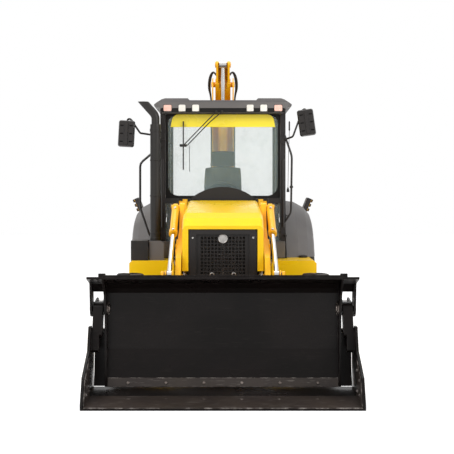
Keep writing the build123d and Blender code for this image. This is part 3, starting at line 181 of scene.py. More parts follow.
def use(tree, group, values):
    """Place an effect in a material with its own values."""
    made = tree.nodes.new("ShaderNodeGroup")
    made.node_tree = group
    for key, value in values.items():
        made.inputs[key].default_value = value
    return made


def new_material(name):
    """Empty node material: the material, its tree and its Principled shader."""
    material = bpy.data.materials.new(name)
    material.use_nodes = True
    tree = material.node_tree
    return material, tree, tree.nodes["Principled BSDF"]


DUST_COLOUR = rgb(150, 132, 108)
BARE_STEEL = rgb(120, 112, 106)


def coated(name, colour, shade, roughness, wear=0.0, dust=0.25, grain=(260.0, 0.04), coat=0.0,
           metallic=0.0, under=BARE_STEEL, radius=0.004, scratch=0.0, shine=0.5):
    """Painted, moulded or plated surface with rounded worn corners, dust and fine grain."""
    material, tree, shader = new_material(name)
    surface = add_node(tree, "ShaderNodeTexCoord").outputs["Object"]
    edges = use(tree, WORN_EDGES, {"Radius": radius, "Wear": wear})
    dusty = use(tree, DUST, {"Amount": dust})
    skin = use(tree, GRAIN, {"Scale": grain[0]})
    cloudy = ramp(tree, noise(tree, surface, 1.7, 4.0), 0.3, 0.7)
    base = mix_colour(tree, cloudy, colour, shade)
    if scratch:
        marks = use(tree, SCRATCHES, {"Amount": scratch})
        base = mix_colour(tree, marks.outputs["Mask"], base, under)
    base = mix_colour(tree, edges.outputs["Mask"], base, under)
    base = mix_colour(tree, dusty.outputs["Mask"], base, DUST_COLOUR)
    tree.links.new(base, shader.inputs["Base Color"])
    rough = math_node(tree, "ADD", ramp(tree, cloudy, 0.0, 1.0, roughness - 0.04, roughness + 0.06),
                      math_node(tree, "MULTIPLY", dusty.outputs["Mask"], 0.5), True)
    tree.links.new(rough, shader.inputs["Roughness"])
    bump = add_node(tree, "ShaderNodeBump",
                    {"Strength": grain[1], "Distance": 0.002, "Height": skin.outputs["Height"],
                     "Normal": edges.outputs["Normal"]})
    tree.links.new(bump.outputs[0], shader.inputs["Normal"])
    shader.inputs["Metallic"].default_value = metallic
    shader.inputs["Coat Weight"].default_value = coat
    shader.inputs["Coat Roughness"].default_value = 0.12
    shader.inputs["Specular IOR Level"].default_value = shine
    return material


def clear_glass(name, tint, alpha):
    """Thin tinted pane that shows what is behind it."""
    material, tree, shader = new_material(name)
    surface = add_node(tree, "ShaderNodeTexCoord").outputs["Object"]
    smear = ramp(tree, noise(tree, surface, 5.0, 5.0), 0.45, 0.8)
    tree.links.new(ramp(tree, smear, 0.0, 1.0, 0.02, 0.09), shader.inputs["Roughness"])
    tree.links.new(ramp(tree, smear, 0.0, 1.0, alpha, alpha + 0.05), shader.inputs["Alpha"])
    shader.inputs["Base Color"].default_value = tint
    shader.inputs["Coat Weight"].default_value = 0.6
    return material


def lamp_glass(name, colour, shade):
    """Fluted lamp lens: flute and row bands between two colours, with bumped flutes."""
    material, tree, shader = new_material(name)
    surface = add_node(tree, "ShaderNodeTexCoord").outputs["Object"]
    flutes = add_node(tree, "ShaderNodeTexWave", {"Vector": surface, "Scale": 62.0, "Distortion": 0.0},
                      bands_direction="X").outputs["Fac"]
    rows = add_node(tree, "ShaderNodeTexWave", {"Vector": surface, "Scale": 20.0, "Distortion": 0.0},
                    bands_direction="Z").outputs["Fac"]
    pattern = math_node(tree, "MULTIPLY", flutes, ramp(tree, rows, 0.0, 1.0, 0.6, 1.0))
    tree.links.new(mix_colour(tree, pattern, shade, colour), shader.inputs["Base Color"])
    bump = add_node(tree, "ShaderNodeBump", {"Strength": 0.4, "Distance": 0.002, "Height": flutes})
    tree.links.new(bump.outputs[0], shader.inputs["Normal"])
    shader.inputs["Roughness"].default_value = 0.12
    shader.inputs["Coat Weight"].default_value = 1.0
    return material


# colour, shade, roughness, and what differs from a plain coat
COATINGS = {
    "machine_yellow": ((255, 212, 8), (252, 202, 4), 0.30,
        dict(wear=0.2, dust=0.08, coat=0.12, shine=0.35)),
    # arm yellow: the machine yellow made deeper and more orange as painted shade on the arms; its wear and
    # scratches are real
    "shaded_arm_yellow": ((250, 188, 10), (242, 174, 6), 0.34,
        dict(wear=0.4, dust=0.08, scratch=0.05, coat=0.12, shine=0.35)),
    "frame_black": ((34, 31, 29), (26, 24, 22), 0.42, dict(wear=0.35, dust=0.3, coat=0.05, shine=0.3)),
    "bucket_black": ((20, 15, 14), (12, 9, 8), 0.30, dict(wear=0.35, dust=0.0, scratch=0.03, shine=0.12)),
    "cab_black": ((34, 30, 28), (28, 25, 24), 0.38, dict(wear=0.12, dust=0.1, coat=0.1, shine=0.3)),
    "moulded_grey": ((98, 95, 94), (88, 85, 84), 0.55, dict(wear=0.1, grain=(900.0, 0.15))),
    "moulded_black": ((36, 34, 33), (30, 28, 27), 0.55, dict(wear=0.1, grain=(900.0, 0.15), shine=0.3)),
    "rod_chrome": ((214, 212, 210), (196, 194, 192), 0.14,
        dict(dust=0.05, metallic=1.0, grain=(600.0, 0.02))),
    "tyre_rubber": ((40, 38, 37), (30, 29, 28), 0.72,
        dict(wear=0.15, dust=0.6, grain=(500.0, 0.25), under=rgb(60, 57, 54), radius=0.008)),
    "seat_fabric": ((52, 54, 56), (42, 44, 46), 0.85, dict(dust=0.1, grain=(1400.0, 0.5))),
    "hose_rubber": ((36, 30, 28), (28, 23, 22), 0.55, dict(dust=0.15, grain=(700.0, 0.2))),
    "hose_guard": ((96, 34, 22), (70, 26, 18), 0.6, dict(dust=0.2, grain=(700.0, 0.2))),
    "bright_steel": ((206, 204, 200), (176, 172, 168), 0.28,
        dict(dust=0.1, metallic=1.0, grain=(500.0, 0.05))),
    "worn_steel": ((132, 122, 116), (70, 62, 58), 0.36,
        dict(wear=0.2, dust=0.08, metallic=0.85, scratch=0.5, under=rgb(190, 184, 178))),
    "blade_black": ((54, 47, 44), (40, 34, 31), 0.34,
        dict(wear=0.9, dust=0.05, scratch=0.25, under=rgb(168, 160, 154), radius=0.006, shine=0.25)),
    "sun_film": ((246, 226, 44), (240, 218, 36), 0.25, dict(dust=0.0, coat=0.5)),
    "seal_rubber": ((22, 20, 19), (16, 15, 15), 0.6, dict(dust=0.05, shine=0.2)),
    "mirror_glass": ((226, 230, 232), (220, 224, 226), 0.04,
        dict(dust=0.0, metallic=1.0, grain=(50.0, 0.0))),
}
FINISHES = {name: coated(name, rgb(*colour), rgb(*shade), roughness, **settings)
            for name, (colour, shade, roughness, settings) in COATINGS.items()}
FINISHES.update({
    "pane": clear_glass("pane", rgb(196, 218, 214), 0.11),
    "lamp_lens": lamp_glass("lamp_lens", rgb(246, 244, 238), rgb(214, 210, 200)),
    "marker_lens": lamp_glass("marker_lens", rgb(250, 214, 200), rgb(232, 170, 150)),
    "tail_lens": lamp_glass("tail_lens", rgb(196, 24, 16), rgb(150, 12, 10)),
})

# finish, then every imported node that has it
DRESS = {
    "machine_yellow": ["hood", "side_tanks", "rim_front_left", "rim_front_right", "rim_rear_left",
                       "rim_rear_right"],
    # loader and digger arms, their cylinder barrels, the swing post, backhoe frame and stabilisers take the
    # painted-shade copy of the machine yellow
    "shaded_arm_yellow": ["loader_arms", "lift_barrels", "tilt_levers", "tilt_links", "tilt_barrels", "boom",
                   "boom_barrel", "dipper", "crowd_barrel", "digger_barrel", "digger_levers", "digger_link",
                   "swing_post", "backhoe_frame", "stabilizer_leg_left", "stabilizer_leg_right",
                   "stabilizer_barrel_left", "stabilizer_barrel_right"],
    "frame_black": ["chassis_frame", "front_axle", "rear_axle", "knuckle_left", "knuckle_right", "track_rod",
                    "engine_block", "exhaust_stack"],
    "bucket_black": ["loader_bucket", "bucket_clam", "clam_barrels", "digger_bucket"],
    "cab_black": ["cab_frame", "door_left", "door_right", "mirrors_and_handrails", "grille"],
    "moulded_grey": ["cab_roof", "rear_fenders"],
    "moulded_black": ["steering_console"],
    "rod_chrome": ["lift_rods", "tilt_rods", "clam_rods", "boom_rod", "crowd_rod", "digger_rod",
                   "stabilizer_rod_left", "stabilizer_rod_right"],
    "tyre_rubber": ["tyre_front_left", "tyre_front_right", "tyre_rear_left", "tyre_rear_right"],
    "seat_fabric": ["seat"],
    "pane": ["cab_glass", "door_left_glass", "door_right_glass"],
}


# ---- shapes
REAR_AXLE_Y = 0.745
SIDES = (-1, 1)
NAMED_SIDES = ((1, "left"), (-1, "right"))
SMOOTH_ANGLE = 35.0
HOSE_RADIUS = 0.011


def spot(forward, up, across=0.0):
    """A side-view place, in metres from the rear axle and the ground, as a point."""
    return Vector((across, REAR_AXLE_Y - forward, up))


AHEAD = Vector((0.0, -1.0, 0.0))
BEHIND = Vector((0.0, 1.0, 0.0))
UPWARDS = Vector((0.0, 0.0, 1.0))


def outwards(side):
    """Direction away from the middle plane on one side."""
    return Vector((side, 0.0, 0.0))


def fit_piece(name, shape, finish, body="machine"):
    """Object from a finished bmesh, smooth but for its corners, riding on its body if it has one."""
    mesh = bpy.data.meshes.new(name)
    bmesh.ops.recalc_face_normals(shape, faces=shape.faces)
    shape.to_mesh(mesh)
    shape.free()
    mesh.shade_smooth()
    mesh.set_sharp_from_angle(angle=math.radians(SMOOTH_ANGLE))
    mesh.materials.append(FINISHES[finish])
    piece = bpy.data.objects.new(name, mesh)
    bpy.context.scene.collection.objects.link(piece)
    if body:
        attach(piece, body)
    return piece


def turned(shape, origin, axis, profile, sides=24):
    """Turned solid: (radius, height) steps of a profile revolved round an axis."""
    spin = Vector(axis).to_track_quat("Z", "Y").to_matrix()
    rings = [[shape.verts.new(origin + spin @ Vector((radius * math.cos(2 * math.pi * k / sides),
                                                      radius * math.sin(2 * math.pi * k / sides), height)))
              for k in range(sides)] for radius, height in profile]
    for lower, upper in zip(rings, rings[1:]):
        for k in range(sides):
            after = (k + 1) % sides
            shape.faces.new((lower[k], lower[after], upper[after], upper[k]))
    shape.faces.new(rings[0][::-1])
    shape.faces.new(rings[-1])


def hex_bolt(shape, origin, axis, size):
    """Washer and domed six-sided head; size is half the head's width."""
    turned(shape, origin, axis,
           [(size * 1.7, 0.0), (size * 1.7, size * 0.25), (size * 1.5, size * 0.35)], 16)
    turned(shape, origin, axis,
           [(size * 1.15, size * 0.3), (size * 1.15, size * 0.95), (size * 0.85, size * 1.15)], 6)


def slab(shape, outline, depth, bevel=0.002):
    """Flat outline carried along a vector, its edges rounded."""
    corners = [shape.verts.new(point) for point in outline]
    face = shape.faces.new(corners)
    moved = bmesh.ops.extrude_face_region(shape, geom=[face])
    fresh = [item for item in moved["geom"] if isinstance(item, bmesh.types.BMVert)]
    bmesh.ops.translate(shape, verts=fresh, vec=depth)
    if bevel:
        edges = {edge for vert in corners + fresh for edge in vert.link_edges}
        bmesh.ops.bevel(shape, geom=list(edges), offset=bevel, segments=2, affect="EDGES",
                        clamp_overlap=True)


def bent_plate(shape, line, across, thickness, bevel=0.002):
    """Plate that follows a side-view line, (forward, up) points, between two places sideways."""
    normals = []
    for k, point in enumerate(line):
        before, after = line[max(k - 1, 0)], line[min(k + 1, len(line) - 1)]
        run = Vector((after[0] - before[0], after[1] - before[1])).normalized()
        normals.append(Vector((-run.y, run.x)) * thickness)
    back = [(point[0] + normal.x, point[1] + normal.y) for point, normal in zip(line, normals)]
    outline = [spot(s, z, across[0]) for s, z in list(line) + back[::-1]]
    slab(shape, outline, Vector((across[1] - across[0], 0.0, 0.0)), bevel)


def rounded_outline(width, height, radius, low_radius=None, steps=6):
    """Points (sideways, up) of a rectangle with rounded corners, centred; equal counts for equal steps."""
    points = []
    for side, level, start in ((1, 1, 0), (-1, 1, 90), (-1, -1, 180), (1, -1, 270)):
        round_off = radius if level > 0 or low_radius is None else low_radius
        for k in range(steps + 1):
            angle = math.radians(start + 90.0 * k / steps)
            points.append((side * (width / 2 - round_off) + round_off * math.cos(angle),
                           level * (height / 2 - round_off) + round_off * math.sin(angle)))
    return points


def front_panel(centre, width, height, radius, low_radius=None):
    """Corners of a rounded rectangle round a point, facing the front."""
    return [centre + Vector((x, 0.0, z)) for x, z in rounded_outline(width, height, radius, low_radius)]


def side_panel(forward, up, across, width, height, radius):
    """Corners of a rounded rectangle that faces sideways."""
    return [spot(forward + x, up + z, across) for x, z in rounded_outline(width, height, radius)]


def rim_band(shape, outer, inner, depth):
    """Flat frame between two closed loops of points, carried along a vector."""
    loops = [[shape.verts.new(point + shift) for point in loop]
             for shift in (Vector((0.0, 0.0, 0.0)), depth) for loop in (outer, inner)]
    count = len(outer)
    for k in range(count):
        after = (k + 1) % count
        for first, second in ((0, 1), (2, 3), (0, 2), (1, 3)):
            shape.faces.new((loops[first][k], loops[first][after], loops[second][after], loops[second][k]))


def tubes(shape, routes, radius, rounds, smooth=False):
    """Round capped tubes through each route of points; smooth ones follow one curve."""
    line = bpy.data.curves.new("tube_line", "CURVE")
    line.dimensions = "3D"
    line.bevel_depth = radius
    line.bevel_resolution = rounds
    line.resolution_u = 8
    line.use_fill_caps = True
    for route in routes:
        spline = line.splines.new("NURBS" if smooth else "POLY")
        spline.points.add(len(route) - 1)
        for knot, point in zip(spline.points, route):
            knot.co = (*point, 1.0)
        if smooth:
            spline.order_u = 3
            spline.use_endpoint_u = True
    holder = bpy.data.objects.new("tube_line", line)
    made = bpy.data.meshes.new_from_object(holder)
    shape.from_mesh(made)
    bpy.data.objects.remove(holder)
    bpy.data.curves.remove(line)
    bpy.data.meshes.remove(made)


def pipe(shape, points, radius):
    """Bent rigid pipe or rod through points, its bends rounded."""
    rounded = [points[0]]
    for before, corner, after in zip(points, points[1:], points[2:]):
        cut = min(radius * 3, (corner - before).length * 0.45, (after - corner).length * 0.45)
        start = corner + (before - corner).normalized() * cut
        end = corner + (after - corner).normalized() * cut
        rounded += [start, (start + 2 * corner + end) / 4, end]
    tubes(shape, [rounded + [points[-1]]], radius, 2)


def hoses(name, routes, finish="hose_rubber"):
    """Pressure hoses between two bodies, one smooth curve each, as one mesh piece."""
    shape = bmesh.new()
    tubes(shape, routes, HOSE_RADIUS, 3, True)
    return fit_piece(name, shape, finish, None)


def dress_solids():
    """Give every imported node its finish."""
    for finish, names in DRESS.items():
        for name in names:
            slots = nodes[name].data.materials
            slots.clear()
            slots.append(FINISHES[finish])


# ---- roof and windshield
CAB_FRONT, CAB_X = 1.050, 0.720
QUARTER_MIDDLE = -0.378, 2.1375      # middle of each rear side window
ROOF_FRONT, ROOF_REAR = 1.170, -0.850
LAMP_PLACES = (0.310, 0.465, 0.630)
LAMP_LEVEL = 2.757
LAMP_SIZES = {"work": (0.086, 0.084), "marker": (0.098, 0.078)}
BEZEL = 0.004
WINDSHIELD = (1.730, 2.695)          # lower and upper edge of the windshield
GLASS_FACE = 1.027
BAND_HEIGHT = 0.145


def dress_roof():
    """Lamp lenses with bezels, fascia strips, roof bolts and the whip aerial."""
    for end, toward, facing in ((ROOF_FRONT, -0.004, AHEAD), (ROOF_REAR, 0.004, BEHIND)):
        side_name = "front" if facing is AHEAD else "rear"
        for kind, places in (("work", LAMP_PLACES[:2]), ("marker", LAMP_PLACES[2:])):
            lenses, bezels = bmesh.new(), bmesh.new()
            for across in places:
                if facing is BEHIND and across == LAMP_PLACES[0]:
                    continue
                for side in SIDES:
                    width, height = LAMP_SIZES[kind]
                    centre = spot(end + toward, LAMP_LEVEL, side * across)
                    lens = front_panel(centre, width - 2 * BEZEL, height - 2 * BEZEL, 0.012)
                    rim = front_panel(centre, width, height, 0.014)
                    slab(lenses, lens, facing * 0.006, 0.0025)
                    rim_band(bezels, rim, lens, facing * 0.005)
            finish = "lamp_lens" if kind == "work" else "marker_lens" if facing is AHEAD else "tail_lens"
            fit_piece(f"{kind}_lenses_{side_name}", lenses, finish)
            fit_piece(f"{kind}_bezels_{side_name}", bezels, "moulded_black")
    for end, facing, name in ((ROOF_FRONT - 0.0135, AHEAD, "front"), (ROOF_REAR + 0.0135, BEHIND, "rear")):
        fascia = bmesh.new()
        slab(fascia, front_panel(spot(end, 2.7565), 1.40, 0.100, 0.010), facing * 0.003, 0.0)
        fit_piece(f"fascia_strip_{name}", fascia, "seal_rubber")
    bolts = bmesh.new()
    for forward in (-0.60, 0.15, 0.90):
        for side in SIDES:
            hex_bolt(bolts, spot(forward, 2.870, side * 0.56), UPWARDS, 0.009)
    fit_piece("roof_bolts", bolts, "bright_steel")
    aerial = bmesh.new()
    turned(aerial, spot(1.075, 1.80, 0.746), UPWARDS,
           [(0.016, 0.0), (0.016, 0.02), (0.007, 0.05), (0.003, 0.06)], 12)
    pipe(aerial, [spot(1.075, 1.84, 0.746), spot(1.075, 2.20, 0.752), spot(1.070, 2.50, 0.762)], 0.003)
    turned(aerial, spot(1.070, 2.50, 0.762), UPWARDS,
           [(0.003, 0.0), (0.009, 0.01), (0.009, 0.10), (0.004, 0.115)], 12)
    fit_piece("whip_aerial", aerial, "moulded_black")


def dress_windshield():
    """Blank sun band, black glass border, pantograph wiper and washer pipe."""
    low, high = WINDSHIELD
    border = bmesh.new()
    middle = (low + high) / 2
    rim_band(border, front_panel(spot(GLASS_FACE, middle), 1.318, high - low, 0.012),
             front_panel(spot(GLASS_FACE, middle + 0.004), 1.262, high - low - 0.050, 0.070, 0.120),
             AHEAD * 0.0015)
    fit_piece("windshield_border", border, "seal_rubber")
    band = bmesh.new()
    film = [(x + 0.028 * math.copysign(1.0, x) * (0.5 - z / BAND_HEIGHT), z)
            for x, z in rounded_outline(1.150, BAND_HEIGHT, 0.060, 0.006)]
    slab(band, [spot(GLASS_FACE + 0.0018, 2.622 + z, x) for x, z in film], AHEAD * 0.001, 0.0)
    fit_piece("sun_band", band, "sun_film")

    wiper = bmesh.new()
    pivots = (spot(1.178, 2.715, -0.075), spot(1.178, 2.715, -0.010))
    elbow = spot(1.062, 2.335, -0.455)
    for pivot, shift in zip(pivots, (0.0, 0.045)):
        turned(wiper, pivot + BEHIND * 0.012, AHEAD, [(0.014, 0.0), (0.014, 0.02), (0.009, 0.028)], 12)
        pipe(wiper, [pivot, pivot.lerp(elbow, 0.35) + AHEAD * 0.012, elbow + Vector((shift, -0.012, 0.0))],
             0.006)
    # bracket, blade holder and rubber lip: size, corner, place behind the elbow, depth and bevel
    for width, height, radius, back, depth, bevel in ((0.085, 0.030, 0.010, -0.006, 0.016, 0.002),
                                                      (0.014, 0.560, 0.006, 0.004, 0.010, 0.001),
                                                      (0.005, 0.560, 0.002, 0.020, 0.018, 0.0)):
        slab(wiper, front_panel(elbow + BEHIND * back, width, height, radius), AHEAD * depth, bevel)
    pipe(wiper, [elbow + Vector((0.070, -0.004, 0.0)), elbow + Vector((0.072, -0.004, -0.18)),
                 elbow + Vector((0.072, 0.014, -0.30))], 0.003)
    fit_piece("windshield_wiper", wiper, "moulded_black")


# ---- cab, doors, mirrors and tanks
def dress_cab():
    """Corner panels, door handles, quarter window seals, mirror faces, tank steps and fuel cap."""
    panels = bmesh.new()
    for side in SIDES:
        outline = [spot(CAB_FRONT + 0.001, z, side * x) for x, z in
                   ((0.560, 1.045), (0.716, 1.045), (0.716, 1.236), (0.600, 1.236))]
        slab(panels, outline, AHEAD * 0.010, 0.003)
    fit_piece("cab_corner_panels", panels, "moulded_grey")
    for side, name in NAMED_SIDES:
        handle = bmesh.new()
        plate = side_panel(0.900, 1.520, side * (CAB_X + 0.001), 0.110, 0.060, 0.014)
        slab(handle, plate, outwards(side) * 0.010, 0.003)
        grip = ((0.865, 0.006), (0.868, 0.034), (0.930, 0.034), (0.935, 0.006))
        pipe(handle, [spot(forward, 1.525, side * (CAB_X + proud)) for forward, proud in grip], 0.007)
        turned(handle, spot(0.940, 1.500, side * (CAB_X + 0.008)), outwards(side),
               [(0.008, 0.0), (0.008, 0.006), (0.005, 0.008)], 12)
        fit_piece(f"door_handle_{name}", handle, "moulded_black", f"door_{name}")
        seal = bmesh.new()
        pane = QUARTER_MIDDLE[0], QUARTER_MIDDLE[1], side * (CAB_X - 0.022)
        rim_band(seal, side_panel(*pane, 0.62, 1.112, 0.02), side_panel(*pane, 0.58, 1.10, 0.05),
                 outwards(side) * 0.004)
        fit_piece(f"quarter_window_seal_{name}", seal, "seal_rubber")
    faces, beads = bmesh.new(), bmesh.new()
    for across, up, lean in ((-1.090, 2.460, -3.0), (0.945, 2.585, 8.0)):
        tilt = Matrix.Rotation(math.radians(-lean), 3, "Y")
        face = [spot(1.2135, up, across) + tilt @ Vector((x, 0.0, z))
                for x, z in rounded_outline(0.160, 0.276, 0.020)]
        slab(faces, face, BEHIND * 0.0015, 0.0)
        for level in (-0.09, 0.0, 0.09):
            for shift in (-0.052, 0.052):
                rib = [spot(1.258, up, across) + tilt @ Vector((shift + x, 0.0, level + z))
                       for x, z in rounded_outline(0.040, 0.012, 0.005)]
                slab(beads, rib, AHEAD * 0.016, 0.002)
    fit_piece("mirror_faces", faces, "mirror_glass")
    fit_piece("mirror_ribs", beads, "moulded_black")
    steps, caps = bmesh.new(), bmesh.new()
    for side in SIDES:
        for level in (0.56, 0.80):
            tread = [spot(1.115 + x, level, side * (1.041 + z)) for x, z in
                     ((-0.16, 0.0), (0.16, 0.0), (0.15, 0.018), (-0.15, 0.018))]
            slab(steps, tread, UPWARDS * 0.02, 0.003)
            for k in range(7):
                stud = spot(0.995 + 0.04 * k, level + 0.020, side * 1.050)
                turned(steps, stud, UPWARDS, [(0.010, 0.0), (0.009, 0.005), (0.006, 0.005)], 10)
    fit_piece("tank_steps", steps, "frame_black")
    turned(caps, spot(0.930, 1.040, 0.930), UPWARDS,
           [(0.046, 0.0), (0.046, 0.018), (0.040, 0.026), (0.018, 0.030)], 28)
    for k in range(12):
        angle = math.radians(30 * k)
        grip = spot(0.930, 1.041, 0.930) + Vector((0.046 * math.cos(angle), 0.046 * math.sin(angle), 0.0))
        turned(caps, grip, UPWARDS, [(0.004, 0.0), (0.004, 0.020), (0.002, 0.024)], 8)
    fit_piece("fuel_cap", caps, "moulded_black")


# ---- hood and grille
HOOD_NOSE, GRILLE_COLUMN, LATCH_LEVEL = 2.775, 0.294, 1.355


def dress_hood():
    """Bare round badge place, grille latches and clips, cooler core and hood trim."""
    badge = bmesh.new()
    turned(badge, spot(HOOD_NOSE - 0.030, 1.343, 0.0), AHEAD,
           [(0.044, 0.0), (0.046, 0.014), (0.045, 0.020), (0.040, 0.021), (0.038, 0.017),
            (0.010, 0.018)], 40)
    fit_piece("round_badge_place", badge, "bright_steel")
    latches = bmesh.new()
    for side in SIDES:
        turned(latches, spot(HOOD_NOSE - 0.019, LATCH_LEVEL, side * GRILLE_COLUMN), AHEAD,
               [(0.012, 0.0), (0.012, 0.012), (0.009, 0.015), (0.004, 0.013)], 20)
    for across in (-0.106, 0.106):
        low = spot(HOOD_NOSE - 0.004, 0.990, across)
        pipe(latches, [low + Vector((-0.022, 0.006, -0.02)), low + Vector((-0.020, -0.004, 0.022)),
                       low + Vector((0.020, -0.004, 0.022)), low + Vector((0.022, 0.006, -0.02))], 0.006)
    fit_piece("grille_latches", latches, "bright_steel")
    core = bmesh.new()
    for k in range(40):
        level = 0.915 + 0.0115 * k
        slab(core, [spot(2.604, level, -0.25), spot(2.604, level, 0.25), spot(2.604, level + 0.004, 0.25),
                    spot(2.604, level + 0.004, -0.25)], AHEAD * 0.012, 0.0)
    for across in (-0.23, -0.12, 0.0, 0.12, 0.23):
        pipe(core, [spot(2.612, 0.90, across), spot(2.612, 1.39, across)], 0.007)
    fit_piece("cooler_core", core, "worn_steel")
    trim = bmesh.new()
    for side in SIDES:
        bent_plate(trim, [(1.262, 1.7065), (1.262, 1.7105), (1.268, 1.7105)], (side * 0.30, side * 0.36),
                   0.002, 0.0)
    fit_piece("hood_rear_stops", trim, "seal_rubber", "hood")
    bolts = bmesh.new()
    for side in SIDES:
        for forward in (1.36, 1.90, 2.44):
            turned(bolts, spot(forward, 1.075, side * 0.395), outwards(side),
                   [(0.011, 0.0), (0.011, 0.002), (0.007, 0.005)], 14)
    fit_piece("hood_side_fasteners", bolts, "bright_steel", "hood")


# ---- pins, pipes and hoses of the loader
def pin_cap(shape, origin, axis, radius):
    """Domed pin end with a grease nipple."""
    turned(shape, origin, axis,
           [(radius, 0.0), (radius, 0.006), (radius * 0.85, 0.010), (radius * 0.3, 0.010)], 24)
    turned(shape, origin + Vector(axis) * 0.010, axis, [(0.006, 0.0), (0.006, 0.004), (0.003, 0.007)], 8)


def keeper(shape, origin, axis, radius, reach):
    """Keeper plate beside a pin, with its bolt."""
    flank = origin + reach
    across = Vector(reach).normalized()
    square = across.cross(Vector(axis)) * radius * 0.45
    tip = flank + across * 0.014
    slab(shape, [origin + square, tip + square, tip - square, origin - square], Vector(axis) * 0.006,
         0.0015)
    hex_bolt(shape, flank + Vector(axis) * 0.006, axis, 0.008)


# side-view place, distance from the middle plane, pin radius, where its keeper plate points
LOADER_PINS = {
    "loader_arms": (((1.923, 1.641), 0.544, 0.024, (-0.05, -0.03)),
                    ((3.014, 0.761), 0.544, 0.026, (-0.05, 0.03)),
                    ((3.330, 0.340), 0.473, 0.030, (-0.06, 0.0)),
                    ((2.080, 1.060), 0.497, 0.030, (0.02, 0.06))),
    "machine": (((1.150, 1.640), 0.536, 0.032, (0.0, -0.07)), ((1.050, 0.860), 0.530, 0.024, (0.05, 0.03))),
    "tilt_levers": (((3.144, 1.026), 0.543, 0.026, (-0.02, -0.05)),),
}


def dress_loader():
    """Pin ends, steel pipes with clamps, hoses and cylinder ports of the loader linkage."""
    for body, pins in LOADER_PINS.items():
        ends = bmesh.new()
        for (forward, up), across, radius, (ahead, above) in pins:
            for side in SIDES:
                origin = spot(forward, up, side * across)
                pin_cap(ends, origin, outwards(side), radius)
                if body != "tilt_levers":
                    reach = spot(forward + ahead, up + above, side * across) - origin
                    keeper(ends, spot(forward, up, side * (across - 0.008)), outwards(side), radius, reach)
        fit_piece(f"{body}_pin_ends", ends, "worn_steel", body)
    pipes, clamps = bmesh.new(), bmesh.new()
    for side in SIDES:
        inner = side * 0.396
        for shift in (0.0, 0.028):
            pipe(pipes, [spot(1.30, 1.600 - shift, inner), spot(1.80, 1.435 - shift, inner),
                         spot(2.30, 1.225 - shift, inner), spot(2.62, 1.050 - shift, inner),
                         spot(2.86, 0.92 - shift, inner)], 0.008)
        for forward, up in ((1.45, 1.536), (1.80, 1.421), (2.10, 1.295), (2.40, 1.160), (2.70, 0.995)):
            block = [spot(forward, up + z, inner + side * 0.004 + x) for x, z in
                     ((-0.012, -0.034), (0.012, -0.034), (0.012, 0.034), (-0.012, 0.034))]
            slab(clamps, block, AHEAD * 0.030, 0.003)
    # the arm pipes take the arms' painted-shade copy of the machine yellow
    fit_piece("loader_arm_pipes", pipes, "shaded_arm_yellow", "loader_arms")
    fit_piece("loader_pipe_clamps", clamps, "moulded_black", "loader_arms")
    for side, name in NAMED_SIDES:
        routes = [[spot(1.10, 1.02 + 0.05 * k, side * (0.352 - 0.012 * k)),
                   spot(1.19, 1.20 + 0.03 * k, side * 0.345),
                   spot(1.245, 1.42, side * (0.350 - 0.008 * k)), spot(1.275, 1.58, side * 0.372),
                   spot(1.30, 1.600 - 0.028 * (k % 2), side * 0.390)] for k in range(3)]
        made = hoses(f"arm_hoses_{name}", routes, "hose_guard" if side < 0 else "hose_rubber")
        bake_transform(made)
    ports = bmesh.new()
    for side in SIDES:
        across = side * 0.500
        base, eye = Vector((1.923, 1.641)), Vector((3.144, 1.026))
        run = (eye - base).normalized()
        for along in (0.10, 0.57):
            port = base + run * along
            lift = Vector((-run.y, run.x)) * 0.036
            origin = spot(port.x + lift.x, port.y + lift.y, across)
            turned(ports, origin, spot(lift.x, lift.y) - spot(0, 0),
                   [(0.013, 0.0), (0.013, 0.018), (0.010, 0.020)], 12)
    fit_piece("tilt_cylinder_ports", ports, "bright_steel", "tilt_barrels")


# ---- bucket
BUCKET_HALF, BUCKET_END = 1.175, 1.035
BOLT_PITCH = 0.336


